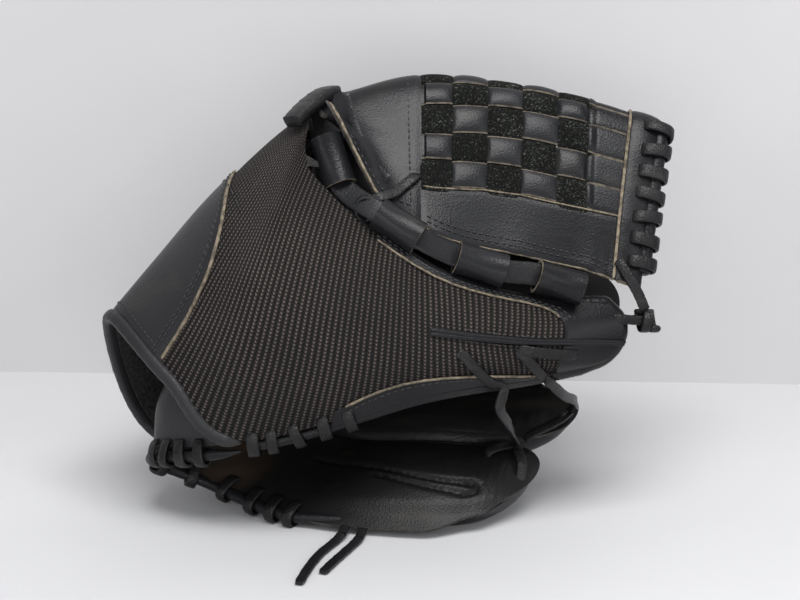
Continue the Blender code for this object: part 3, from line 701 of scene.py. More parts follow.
# Sewn darts in the little finger, as places (u, v)
DARTS = (
    ((5.95, 0.168), (6.21, 0.158), (6.45, 0.146), (6.66, 0.132), (6.89, 0.116), (7.07, 0.106), (7.37, 0.094)),
    ((6.55, 0.118), (6.92, 0.090), (7.14, 0.078), (7.36, 0.062), (7.46, 0.066), (7.44, 0.084), (7.37, 0.094)),
)


def near_line(u, v, line, across=5.0):
    """Rough distance of places from a line of places, with v stretched to match u."""
    found = np.full(np.shape(u), 9.0)
    for (u0, v0), (u1, v1) in zip(line, line[1:]):
        along = np.array((u1 - u0, (v1 - v0) * across))
        share = ((u - u0) * along[0] + (v - v0) * across * along[1]) / (along @ along)
        share = np.clip(share, 0, 1)
        found = np.minimum(found, np.hypot(u - u0 - share * along[0], (v - v0) * across - share * along[1]))
    return found


def palm_relief(u, v):
    """What wear and sewing press into the palm: the fold, soft creases, finger slits and darts."""
    crease = np.exp(-((u - 3.0) / 0.05) ** 2) * 1.2
    folds = 0.7 * np.sin(u * 9 + 3 * np.sin(v * 5)) * smooth(3.1, 3.8, u) * (1 - smooth(5.4, 6.2, u))
    gap = np.min(np.abs(np.asarray(v)[..., None] - FINGER_BORDERS[1:-1]), axis=-1)
    slit = 5.5 * np.exp(-(gap / 0.012) ** 2) * smooth(5.7, 6.5, u)
    full = 2.2 * smooth(0.012, 0.07, gap) * smooth(6.0, 6.7, u) * (1 - smooth(7.5, 7.95, u))
    sewn = sum(2.0 * np.exp(-(near_line(u, v, line) / 0.035) ** 2) for line in DARTS)
    edge = 1.5 * (1 - smooth(0.0, 0.05, v)) * smooth(5.6, 6.3, u)
    wrinkles = 0.22 * np.sin(70 * u + 40 * v + 3 * np.sin(14 * v)) * smooth(7.2, 7.45, u) * (1 - smooth(7.7, 7.9, u))
    return folds + full + wrinkles - crease - slit - sewn - edge


def make_palm():
    """The palm in two halves, which meet on the line of the fold."""
    def half(start, end_of):
        def place(s, t):
            u = start + s * (end_of(t) - start)
            lip = -0.03 * smooth(3.3, 3.9, u) * (1 - smooth(7.0, 7.5, u))
            v = lip + (1 - lip) * t
            return u, v, crown(u, t) * (u > 3) + palm_relief(u, v)
        return place
    hand = panel("palm_leather_skin", pocket, (160, 190), half(2.98, tip_reach), HIDE, PALM_HIDE, DARK_EDGE)
    keep(hand, "hand", "palm_leather", "palm_leather")
    thumb = panel("thumb_palm_skin", pocket, (80, 190), half(0.06, lambda t: 3.02), HIDE, PALM_HIDE, DARK_EDGE)
    keep(thumb, "thumb", "palm_leather", "thumb_palm_leather")


# Finger backs

def make_finger(number, name):
    low, high = FINGER_BORDERS[number], FINGER_BORDERS[number + 1]

    def place(s, t):
        share = 0.5 - 0.5 * np.cos(math.pi * t)
        v = low + (high - low) * (0.075 + 0.85 * share)
        end = tip_reach(v) - 0.04
        start = 3.0 + 0.56 * (tip_reach(v) - 3.0)
        along = 1 - (1 - s) ** 1.25
        u = start + along * (end - start)
        arch = np.sqrt(np.clip(1 - np.abs(2 * share - 1) ** 2.4, 0, 1))
        rounding = np.sqrt(np.clip(1 - np.clip((along - 0.5) / 0.5, 0, 1) ** 3, 0, 1))
        sewn = np.sqrt(np.clip(1 - (1 - np.clip(along / 0.2, 0, 1)) ** 2, 0, 1))
        depth = (STALL_DEPTHS[number] + (TIP_DEPTHS[number] - STALL_DEPTHS[number]) * along) * rounding * sewn
        seam = 0.9 * np.exp(-((share - 0.5) / 0.035) ** 2)
        height = np.maximum(depth * arch - seam * (depth > 3), 0)
        return u, v, crown(u, v) - (HIDE + 0.5 + height)

    piece, s, t = new_grid(f"{name}_finger_hide", 64, 44)
    u, v, lift = place(s, t)
    points = pocket.lifted(u, v, lift)
    points[:, 2] = np.maximum(points[:, 2], 0.0)
    set_points(piece, points)
    set_uv(piece, lengths_on(pocket, u, v))
    flip_to(piece, -pocket.normal(u, v))
    thicken(piece, HIDE, BLACK_HIDE, DARK_EDGE)
    apply_modifiers(piece)
    soften(piece)
    keep(piece, "hand", "black_leather", f"{name}_finger_back")


def make_fingers():
    for number, name in enumerate(FINGERS):
        make_finger(number, name)
    for number, (first, second) in enumerate(zip(FINGERS, FINGERS[1:])):
        border = FINGER_BORDERS[number + 1]
        u = np.linspace(5.95, 7.5, 50)
        line, normals = row_on(pocket, u, border, -(HIDE + 2.0))
        piece = strap(f"{first}_{second}_piping", line, normals, 3.6, 3.6, BLACK_HIDE, sides=10, squareness=1.0)
        keep(piece, "hand", "black_leather", f"{first}_{second}_welt")


# Thumb and back of the hand

# Lower edge of the leather that covers the thumb's tip and faces its top, as places (u, v)
FACING_EDGE = (
    (0.04, 0.0), (0.3, 0.0), (0.56, 0.0), (0.67, 0.05), (0.70, 0.2), (0.69, 0.36), (0.665, 0.5), (0.66, 0.62),
    (0.70, 0.78), (0.80, 0.9), (1.0, 0.955), (1.35, 0.968), (1.75, 0.968), (2.1, 0.965), (2.4, 0.962),
)
# Upper edge of the leather under the thumb
LOWER_EDGE = ((0.62, 0.0), (0.81, 0.026), (1.2, 0.082), (1.6, 0.117), (2.02, 0.127), (2.27, 0.108), (2.5, 0.05))
# Where the wrist strap laps over the cloth
STRAP_EDGE = (
    (4.13, 0.0), (4.133, 0.05), (4.133, 0.207), (4.168, 0.355), (4.254, 0.438), (4.41, 0.512), (4.669, 0.572),
    (4.9, 0.615), (5.0, 0.63),
)


def places(line, count):
    """Evenly spread places (u, v) along a smooth line."""
    line = np.array(line)
    found = spline(line, np.linspace(0, len(line) - 1, count * 4))
    where = distance_share(back.point(found[:, 0], found[:, 1]))
    even = np.interp(np.linspace(0, 1, count), where, np.arange(len(found)))
    return pick(found, even)


def on_line(line, s):
    """Places (u, v) at shares of the way along a line of places."""
    return pick(line, s * (len(line) - 1)).T


def strap_edge(v):
    return np.interp(v, *np.array(STRAP_EDGE).T[::-1])


def edge_fall(s, t, depth, width_s=0.03, width_t=0.03):
    """Sewn edges are pulled down a little."""
    near = np.minimum(np.minimum(s, 1 - s) / width_s, np.minimum(t, 1 - t) / width_t)
    return -depth * (1 - smooth(0, 1, near))


def cloth_waves(u, v):
    """Slack in the thumb's cloth."""
    broad = 0.8 * np.sin(u * 3.1 + 4 * v) * np.sin(v * math.pi) * smooth(0.9, 1.4, u) * (1 - smooth(3.6, 4.1, u))
    upright = 0.5 * np.sin(u * 11 + 1.5 * v) * smooth(0.35, 0.8, v) * smooth(1.6, 2.2, u) * (1 - smooth(3.1, 3.7, u))
    return broad + upright


def make_thumb():
    def cloth(s, t):
        u = 0.55 + s * 3.75
        return u, t, cloth_waves(u, t) - 0.4 * np.exp(-((t - 0.5) / 0.015) ** 2) * (1 - smooth(1.9, 2.1, u))
    piece = panel("thumb_knit", back, (170, 110), cloth, CLOTH, KNIT, DARK_EDGE)
    bends(piece, FOLD_BEND, "mesh_cloth", "thumb_mesh_panel")

    def corner(s, t):
        v = 0.34 + 0.29 * t
        return 4.22 + s * (np.maximum(strap_edge(v) + 0.08, 4.3) - 4.22), v, -0.05
    keep(panel("knit_corner", back, (24, 24), corner, CLOTH, KNIT, DARK_EDGE), "hand", "mesh_cloth")

    low = places(FACING_EDGE, 121)

    def covering(s, t):
        u0, v0 = on_line(low, s)
        u1 = np.interp(s, (0, 0.2, 0.45, 0.6, 1.0), (0.04, 0.12, 0.42, 0.75, 2.4))
        top = 1.0 + 0.035 * smooth(0.3, 0.9, u1)
        u, v = u0 + (u1 - u0) * t, v0 + (top - v0) * t
        groove = 0.7 * np.exp(-((v - 0.5) / 0.02) ** 2) * (1 - smooth(0.68, 0.72, u))
        return u, v, 1.35 + edge_fall(s, t, 0.45, 0.01, 0.03) - groove
    piece = panel("thumb_tip_leather", back, (120, 50), covering, 1.6, BLACK_HIDE, TAN_EDGE)
    keep(piece, "thumb", "black_leather", "thumb_tip_cap")
    edge = low[38:]
    keep(trim("thumb_facing_raw_edge", back, edge[:, 0], edge[:, 1], 0.9), "thumb", "black_leather")

    lower = places(LOWER_EDGE, 70)

    def under(s, t):
        u, v = on_line(lower, s)
        return u, -0.03 + (v + 0.03) * t, 1.2 + edge_fall(s, t, 0.4, 0.02, 0.1)
    keep(panel("thumb_lower_facing", back, (80, 16), under, 1.4, BLACK_HIDE, DARK_EDGE), "thumb", "black_leather")
    keep(trim("thumb_lower_raw_edge", back, lower[6:66, 0], lower[6:66, 1], 0.9), "thumb", "black_leather")

    def stall(s, t):
        return 0.35 + 2.3 * s, 0.12 + 0.76 * t, -(HIDE + 0.8)
    keep(panel("thumb_stall_lining", back, (40, 20), stall, LINING, FLEECE), "thumb", "lining", "thumb_lining")

    u = np.linspace(0.02, 1.98, 80)
    v = np.interp(u, (0.02, 0.3, 0.7, 1.3, 1.98), (0.468, 0.495, 0.522, 0.528, 0.502))
    pair = [strap(f"thumb_piping_{side}", back.lifted(u, v + offset, 1.0), back.normal(u, v), 2.4, 2.6, BLACK_HIDE,
                  sides=10, squareness=0.8, wobble=0.04) for side, offset in (("upper", 0.014), ("lower", -0.016))]
    keep(joined("thumb_centre_piping", pair), "thumb", "black_leather", "thumb_centre_welt")
    make_thumb_seam()
    sew_thumb(low, lower)


def make_thumb_seam():
    """The sewn edge that closes the thumb, over its top, round its tip and a little way under it."""
    top, tip, below = np.linspace(2.7, 0.05, 90), np.linspace(1.0, 0.0, 40)[1:], np.linspace(0.05, 0.7, 24)[1:]
    u = np.concatenate([top, np.full(39, 0.05), below])
    v = np.concatenate([np.ones(90), tip, np.zeros(23)])
    line = (back.point(u, v) + pocket.point(u, v)) / 2
    line = spline(line, np.linspace(0, len(line) - 1, 200))
    facing = spline(back.normal(u, v), np.linspace(0, len(u) - 1, 200))
    seam = strap("thumb_closing_seam", line, facing, 8.0, 8.4, BLACK_HIDE, sides=14, squareness=0.85, wobble=0.02)
    keep(seam, "thumb", "black_leather")


def sew_thumb(low, lower):
    rows = []
    edge = low[36:]
    for inset in (0.022, 0.048):
        u = edge[:, 0] - inset * 1.6 * (edge[:, 1] < 0.9)
        v = edge[:, 1] + inset * (edge[:, 1] > 0.75)
        rows.append(row_on(back, u, v, 1.5))
    rows += [row_on(back, np.linspace(0.85, 1.9, 50), side, 0.35) for side in (0.47, 0.575)]
    rows.append(row_on(back, lower[4:66, 0], lower[4:66, 1] - 0.03, 1.35))
    keep(stitches("thumb_stitching", rows), "thumb", "black_leather")


def make_hand_back():
    def over_wrist(s, t):
        v = 0.63 * t
        u = strap_edge(v) + s * (6.93 - strap_edge(v))
        return u, v, 1.1 + edge_fall(s, t, 0.5, 0.02, 0.04)
    piece = panel("wrist_strap_hide", back, (110, 70), over_wrist, HIDE, STRAP_HIDE, TAN_EDGE)
    keep(piece, "hand", "black_leather", "wrist_strap")
    edge = places(STRAP_EDGE, 90)
    keep(trim("strap_raw_edge", back, edge[3:, 0], edge[3:, 1], 0.7, 1.9, 1.5), "hand", "black_leather")

    def behind(s, t):
        return 4.2 + s * 2.73, 0.6 + 0.4 * t, -0.3 + 0.25 * t
    piece = panel("back_knit", back, (90, 40), behind, CLOTH, KNIT, DARK_EDGE)
    keep(piece, "hand", "mesh_cloth", "back_mesh_panel")

    def inside(s, t):
        return 3.06 + s * 3.8, 0.93 * t, -(HIDE + 0.6)
    piece = panel("hand_room_fleece", back, (80, 40), inside, LINING, FLEECE)
    keep(piece, "hand", "lining", "hand_lining")

    def palm_side(s, t):
        u = 3.03 + 2.6 * s
        under = (HIDE + FELT + 1.2) * smooth(-0.02, 0.12, t) + 2.5
        return u, 0.95 * t, 0.8 * np.sin(u * 7 + 9 * t) * smooth(0, 0.1, t) - under
    piece = panel("palm_lining_hide", pocket, (80, 60), palm_side, LINING, STRAP_HIDE)
    keep(piece, "hand", "lining", "palm_lining")

    def felt(s, t):
        return 3.35 + 2.1 * s, 0.14 + 0.76 * t, -(HIDE + 0.8)
    piece = panel("palm_felt_layer", pocket, (40, 30), felt, FELT - 0.6, FELT_PAD)
    keep(piece, "hand", "felt", "palm_felt_pad")

    v = np.linspace(0.03, 0.61, 60)
    rows = [row_on(back, strap_edge(v) + inset, v, 1.25) for inset in (0.09, 0.12)]
    u = np.linspace(4.25, 6.8, 90)
    rows += [row_on(back, u, at, 1.2) for at in (0.045, 0.585)]
    keep(stitches("strap_stitching", rows), "hand", "black_leather")
    make_binding()
    make_gusset()


def edge_of(surface, u, v, away, lift):
    """A line beside an edge of a surface, with the ways out of the edge and out of the surface along it."""
    v = np.full_like(u, v)
    across = surface.point(u, v + 0.02) - surface.point(u, v)
    along = np.gradient(surface.point(u, v), axis=0)
    normal = surface.normal(u, v)
    out = np.cross(along, normal)
    out /= np.linalg.norm(out, axis=1, keepdims=True)
    out *= -np.sign((out * across).sum(1, keepdims=True))
    return surface.point(u, v) + out * away + normal * lift, out, normal


def make_binding():
    u = np.linspace(2.99, 6.7, 150)
    line, _, normal = edge_of(back, u, 0.0, 1.6, -0.4)
    piece = strap("wrist_binding_roll", line, normal, 7.4, 6.6, STRAP_HIDE, sides=16, squareness=0.8, wobble=0.035,
                  fade=7)
    keep(piece, "hand", "black_leather", "wrist_binding")


def make_gusset():
    piece, s, t = new_grid("crotch_gusset_hide", 14, 24)
    low = pocket.lifted(3.75 + 0.6 * s, np.ones_like(s), -HIDE / 2)
    high = back.lifted(4.5 + 0.9 * s, np.ones_like(s), -CLOTH / 2)
    share = 0.05 + 0.86 * t
    set_points(piece, low + (high - low) * share[:, None])
    thicken(piece, HIDE, BLACK_HIDE, offset=0)
    apply_modifiers(piece)
    face_out(piece)
    soften(piece)
    keep(piece, "hand", "black_leather", "crotch_gusset")


# Lacing round the edges

def at_places(line_of, u, count=240):
    """Points, ways out and normals of an edge at chosen places along it."""
    spread = np.linspace(u[0] - 0.1, u[-1] + 0.1, count)
    parts = line_of(spread)
    where = np.interp(u, spread, np.arange(count))
    return [pick(part, where) for part in parts]


def make_edges():
    u = np.linspace(0.7, 2.95, 100)
    line, _, normal = edge_of(back, u, 0.0, 4.6, -2.2)
    core = strap("thumb_core", line, normal, 6.0, 6.4, BLACK_HIDE, **ROLL)
    plies = []
    u = np.linspace(0.62, 2.34, 80)
    for number, (away, lift) in enumerate(((3.6, 0.2), (5.2, -1.6), (6.2, -4.2))):
        ply, _, normal = edge_of(back, u, 0.0, away, lift)
        plies.append(strap(f"thumb_ply_{number}", ply, normal, 4.6, 1.9, BLACK_HIDE, sides=8, **BAND, wobble=0.03))
    keep(joined("thumb_edge_plies", [core] + plies), "thumb", "black_leather", "thumb_edge_welt")
    spots = at_places(lambda u: edge_of(back, u, 0.0, 2.6, -1.8), np.array((2.42, 2.54, 2.67, 2.8, 2.91)))
    keep(loops("thumb_edge_lacing", *spots, 6.6, 5.2), "thumb", "lace", "thumb_edge_lace")

    def heel(u):
        """The heel's edge, which comes in to the little finger's and stays off the table."""
        away = 5.0 - 3.6 * smooth(5.9, 6.4, u)
        line, out, normal = edge_of(pocket, u, 0.0, away[:, None], -HIDE)
        line[:, 2] = np.maximum(line[:, 2], ROLL_CENTRE)
        return line, out, normal
    line, _, normal = heel(np.linspace(3.0, 7.2, 180))
    roll = strap("heel_edge_roll", line, normal, 6.2, 6.2, BLACK_HIDE, **ROLL, fade=12)
    keep(roll, "hand", "black_leather", "heel_edge_welt")
    spots = at_places(heel, np.array((3.3, 3.48, 3.66, 3.85, 4.36, 4.8, 5.3, 5.6, 5.8, 5.97)))
    spots[0] = spots[0] - spots[1] * 2.0
    keep(loops("heel_edge_lacing", *spots, 6.9, 4.6), "hand", "lace", "heel_edge_lace")


# Basket web

# Places (u, v) of the weave's front border, and limits of the weave and the bar
WEB_FRONT = ((1.0, 0.085), (1.35, 0.13), (1.7, 0.168), (2.13, 0.19), (3.94, 0.193))
WEB_BEHIND = 0.1
WEB_LEFT = 1.02
WEB_RIGHT = 3.94
BAR_RIGHT = 4.72
ROWS = 6
COLUMNS = 5
COLUMN_START = 16.0
COLUMN_PITCH = 18.2
STRIP_SHARE = 12.4 / 15.2
STRIP_CUTS = (150, 20)
RISE = 1.15
FLAP = (
    (-0.3, 0.4), (-0.1, 0.36), (0.1, 0.31), (0.35, 0.25), (0.55, 0.18), (0.8, 0.115), (1.05, 0.09), (1.6, 0.075),
    (2.2, 0.055), (3.0, 0.055), (3.94, 0.08), (4.72, 0.085),
)


def flap(u):
    """How far the front of the web hangs past its last section points."""
    return -np.interp(u, *np.array(FLAP).T)


def ripple(u):
    """Slack in the hanging edge of the front band."""
    return 0.8 * np.sin(u * 6.5)


def base_left(v):
    """Left edge of the web's base, which swings out over the first tunnel."""
    return -0.04 - 0.38 * (1 - smooth(-0.15, 0.75, v))


def weave(u, share):
    """The place across the web of a share of the weave's width, from the front border to the rear one."""
    far = np.mean([distances(section) for section in WEB], axis=0)
    knots = np.linspace(0, 1, len(far))
    front = np.interp(np.interp(u, *np.array(WEB_FRONT).T), knots, far)
    rear = np.interp(1 - WEB_BEHIND, knots, far)
    return np.interp(front + (rear - front) * share, far, knots)


def column_edges():
    """Both edges of every suede strip, evenly spaced along X."""
    u = np.linspace(WEB_LEFT, WEB_RIGHT, 80)
    x = web.point(u, 0.35)[:, 0]
    starts = COLUMN_START + np.arange(COLUMNS) * COLUMN_PITCH
    return np.interp(np.stack([starts, starts + COLUMN_PITCH * STRIP_SHARE], 1), x, u)


def over_under(phase):
    """Rise of a woven strip, from -1 to 1: nearly flat over a crossing, with a quick turn to the next."""
    wave = np.sin(math.pi * phase)
    return np.sign(wave) * np.abs(wave) ** 0.4


def strip_lift(wave, t, dome):
    """Height of a strip: over or under, fuller in its middle where it is over, with its edges turned down."""
    return 0.7 + RISE * wave + dome * np.clip(wave, 0, 1) * (1 - (2 * t - 1) ** 2) - 0.5 * np.abs(2 * t - 1) ** 5


def make_web():
    columns = column_edges()
    centres = columns.mean(1)
    last = columns[-1, 1]
    for row in range(ROWS):
        def along_web(s, t):
            u = WEB_LEFT - 0.04 + s * (WEB_RIGHT + 0.05 - WEB_LEFT)
            phase = np.interp(u, [WEB_LEFT, *centres, last + 0.12], np.arange(COLUMNS + 2) - 0.5)
            phase = np.maximum(phase, 0.5 - 0.5 * (u < WEB_LEFT + 0.03))
            wave = over_under(phase + row + 1) * (1 - smooth(last, last + 0.15, u))
            wide = 1.17 + 0.08 * smooth(last - 0.05, last + 0.1, u)
            share = (row + 0.5 + (t - 0.5) * STRIP_SHARE * wide) / ROWS
            return u, weave(u, share), strip_lift(wave, t, 0.9) + 0.5 * smooth(last, last + 0.2, u)
        piece = panel(f"web_hide_strip_{row + 1}", web, STRIP_CUTS, along_web, STRIP_THICK, BLACK_HIDE, STRIP_EDGE,
                      0.03)
        bends(piece, WEB_BEND, "black_leather", f"web_row_{row + 1}")
    for column in range(COLUMNS):
        low, high = columns[column]

        def across_web(s, t):
            u = low - 0.035 + (high - low + 0.07) * t
            share = -0.03 + 1.06 * s
            phase = np.clip(share, 0.02, 0.98) * ROWS
            return u, weave(u, share), strip_lift(over_under(phase + column), t, 0.3)
        piece = panel(f"web_suede_strip_{column + 1}", web, STRIP_CUTS, across_web, STRIP_THICK, SUEDE, STRIP_EDGE,
                      0.025)
        bends(piece, WEB_BEND, "suede", f"web_column_{column + 1}")
    make_web_frame()


def make_web_frame():
    def front(s, t):
        u = WEB_LEFT - 0.03 + s * (WEB_RIGHT - WEB_LEFT + 0.03)
        low, high = flap(u), weave(u, -0.012)
        return u, low + (high - low) * t, 1.5 + ripple(u) * (1 - t) ** 2 + edge_fall(s, t, 0.4, 0.02, 0.06)
    bends(panel("web_front_band", web, (110, 30), front, BAND_THICK, BLACK_HIDE, TAN_EDGE), WEB_BEND,
          "black_leather", "web_front_border")

    def behind(s, t):
        low = 1 - WEB_BEHIND + 0.01
        return WEB_LEFT + s * (WEB_RIGHT - WEB_LEFT), low + (1 - low) * t, 1.3 + edge_fall(s, t, 0.4, 0.02, 0.1)
    bends(panel("web_rear_band", web, (90, 16), behind, BAND_THICK, BLACK_HIDE, TAN_EDGE), WEB_BEND,
          "black_leather", "web_rear_border")

    def base(s, t):
        low = flap(-0.42 + s * 1.42)
        v = low + (1 - low) * t
        left = base_left(v)
        u = left + s * (WEB_LEFT - 0.015 - left)
        return u, v, 1.6 + 0.5 * np.sin(u * 5 + 6 * t) * np.sin(math.pi * t) + edge_fall(s, t, 0.4, 0.06, 0.02)
    bends(panel("web_base_hide", web, (50, 110), base, 2.6, BLACK_HIDE, DARK_EDGE), WEB_BEND, "black_leather",
          "web_base")

    def bar(s, t):
        u = WEB_RIGHT + 0.005 + s * (BAR_RIGHT - WEB_RIGHT)
        swell = 2.0 * np.sqrt(np.clip(1 - (2 * s - 1) ** 2, 0, 1)) + 0.35 * np.sin(t * 60) * s * (1 - s)
        low = flap(u)
        return u, low + (1 - low) * t, 1.4 + swell
    bends(panel("web_bar_hide", web, (30, 110), bar, 5.0, BLACK_HIDE, TAN_EDGE), WEB_BEND, "black_leather",
          "web_top_bar")
    lace_bar()
    trim_web()


def bar_edge(v):
    """The end of the top bar, with the ways out of it and off the web."""
    right = np.full_like(v, BAR_RIGHT)
    along = np.gradient(web.point(right, v), axis=0)
    normal = web.normal(right, v)
    out = np.cross(along, normal)
    out /= np.linalg.norm(out, axis=1, keepdims=True)
    return web.point(right, v) + out * 0.4 + normal * 0.5, out, normal


def lace_bar():
    line, out, normal = bar_edge(np.linspace(-0.03, 0.5, 70))
    core = strap("web_bar_core", line, normal, 8.0, 7.4, BLACK_HIDE, **ROLL)
    bends(core, WEB_BEND, "black_leather", "web_bar_roll")
    even = np.interp(np.linspace(0.06, 0.96, 7), distance_share(line), np.arange(70))
    spots = [pick(part, even) for part in (line, out, normal)]
    spots[0] = spots[0] - spots[1] * 2.0
    bends(loops("web_bar_lacing", *spots, 7.8, 5.6, 6.8), WEB_BEND, "lace", "web_bar_lace")


def trim_web():
    u = np.linspace(WEB_LEFT, WEB_RIGHT, 120)
    hanging = trim("band_raw_edge", web, u, flap(u), 1.0, 1.0, 1.4)
    opening = trim("slit_raw_edge", web, u, weave(u, -0.006), 1.6, 0.8, 1.0)
    bottom = np.linspace(-0.4, WEB_LEFT, 90)
    left = trim("base_raw_edge", web, bottom, flap(bottom), 1.0, 1.0, 1.5)
    v = np.linspace(-0.075, 0.97, 120)
    bar = trim("bar_raw_edge", web, np.full(120, WEB_RIGHT - 0.005), v, 1.9, 1.7, 1.6)
    bends(joined("web_raw_edges", [hanging, opening, left, bar]), WEB_BEND, "black_leather")
    u = u[3:-3]
    rows = [row_on(web, u, flap(u) + inset, 1.75 + 0.7 * ripple(u)) for inset in (0.028, 0.05)]
    rows.append(row_on(web, WEB_LEFT - 0.16, np.linspace(-0.02, 0.95, 100), 1.75))
    lower = np.linspace(-0.15, WEB_LEFT - 0.2, 50)
    rows.append(row_on(web, lower, flap(lower) + 0.06, 1.9))
    bends(stitches("web_stitching", rows), WEB_BEND, "black_leather")


# Lace tunnels

def tunnel(name, start, end, outer, body, node):
    """A tube rolled from hide, a little waisted and uneven, with a pale cut edge at both ends."""
    start, end = np.array(start, float), np.array(end, float)
    axis = (end - start) / np.linalg.norm(end - start)
    side = np.cross(axis, (0, 0, 1))
    side /= np.linalg.norm(side)
    up = np.cross(side, axis)
    piece, s, t = new_grid(name, 20, 40)
    angle = 2 * math.pi * t
    radius = outer - 0.5 * np.sin(math.pi * s) + 0.25 * np.sin(angle * 3 + s * 4)
    points = start + (end - start) * s[:, None]
    out = np.cos(angle)[:, None] * side + np.sin(angle)[:, None] * up
    set_points(piece, points + out * radius[:, None])
    edit(piece)
    bpy.ops.mesh.remove_doubles(threshold=0.0001)
    bpy.ops.object.mode_set(mode="OBJECT")
    middle = piece.data.polygons[len(piece.data.polygons) // 2]
    inside = Vector((start + end) / 2 - REST) * MM
    if middle.normal.dot(middle.center - inside) < 0:
        piece.data.flip_normals()
    thicken(piece, TUNNEL_WALL, BLACK_HIDE, TAN_EDGE)
    apply_modifiers(piece)
    soften(piece)
    keep(piece, body, "black_leather", node)


def make_tunnels():
    for side, tunnels, body in (("front", FRONT_TUNNELS, "thumb"), ("rear", REAR_TUNNELS, "hand")):
        for number, (start, end) in enumerate(tunnels, 1):
            tunnel(f"web_{side}_tube_{number}", start, end, TUNNEL_RADIUS, body, f"web_{side}_tunnel_{number}")
        ends = np.array([point for tube in tunnels for point in tube], float)
        line = spline(ends, np.linspace(0.1, len(ends) - 1.1, 120))
        flat = np.array((0, -1, 0.6) if side == "front" else (0, 1, 0.6))
        run = strap(f"web_{side}_lacing", line, flat, 6.4, 3.2, LACE_HIDE, squareness=0.6, wobble=0.03)
        keep(run, body, "lace", f"web_{side}_lace")
        outside = flat / np.linalg.norm(flat) * 2.3
        band = strap(f"web_{side}_tube_band", line + outside, flat, 12.0, 1.5, BLACK_HIDE, **BAND, wobble=0.02)
        keep(band, body, "black_leather")
    behind = spline([(-34, 11, 217), (-28, 2, 199), (-20, -8, 183), (-8, -20, 172)], np.linspace(0, 3, 40))
    lining = strap("crotch_lining", behind, (-0.3, -1, 0.4), 27.0, 1.6, BLACK_HIDE, **BAND)
    bends(lining, FOLD_BEND, "black_leather")


# Loose laces

def lace(name, points, flats, count=60, width=LACE_WIDTH, thick=LACE_THICK):
    where = np.linspace(0, len(points) - 1, count)
    return strap(name, spline(points, where), spline(flats, where), width, thick, LACE_HIDE, wobble=0.04)


# The two long ties: (u, v, lift) on the thumb, (point, flat side) in the air, and (u, v, lift) on a finger
FIRST_TIE = (
    ((1.74, 0.37, -0.5), (1.66, 0.3, 2.0), (1.55, 0.16, 2.4), (1.46, 0.05, 3.0), (1.36, -0.03, 4.5)),
    (((56, -54, 70), (0.3, -1, 0.3)), ((61, -41, 57), (0.2, -0.9, 0.5)), ((64.5, -26, 46), (0.2, -0.8, 0.6))),
    ((7.66, 0.235, 6.4), (7.74, 0.19, 7.2), (7.83, 0.15, 6.6), (7.89, 0.11, 1.5)),
)
SECOND_TIE = (
    ((1.13, 0.43, -0.5), (1.05, 0.33, 2.2), (0.95, 0.2, 2.4), (0.84, 0.07, 3.2), (0.74, -0.03, 5.0)),
    (((91, -30, 68), (0.5, -0.8, 0.2)), ((99, -8, 57), (0.7, -0.7, 0.3))),
    ((7.96, 0.40, 5.0), (7.93, 0.355, 5.6), (7.87, 0.325, 5.0), (7.78, 0.3, 3.6), (7.7, 0.285, 0.0)),
)
# The two short ties, as (u, v, lift)
FINGER_TIE = ((7.40, 0.19, 1.0), (7.46, 0.2, 7.4), (7.54, 0.215, 7.4), (7.62, 0.232, 5.6))
FACE_TIE = ((0.5, 0.37, 0.0), (0.6, 0.375, 3.0), (0.8, 0.4, 3.0), (1.0, 0.42, 2.4), (1.12, 0.435, 0.0))


def on_surface(surface, rows):
    return row_on(surface, *np.array(rows).T)


def long_tie(name, on_thumb, in_air, on_finger):
    between = np.array(in_air, float).swapaxes(0, 1)
    ways = zip(on_surface(back, on_thumb), between, on_surface(pocket, on_finger))
    return lace(name, *(np.vstack(parts) for parts in ways), 110)


def make_ties():
    bends(long_tie("thumb_tie", *FIRST_TIE), TIE_BEND, "lace", "thumb_tie_lace")
    keep(lace("finger_short_tie", *on_surface(pocket, FINGER_TIE), 30), "hand", "lace")
    keep(lace("thumb_face_tie", *on_surface(back, FACE_TIE), 40), "thumb", "lace", "thumb_face_lace")
    bends(long_tie("thumb_second_tie", *SECOND_TIE), TIE_BEND, "lace")


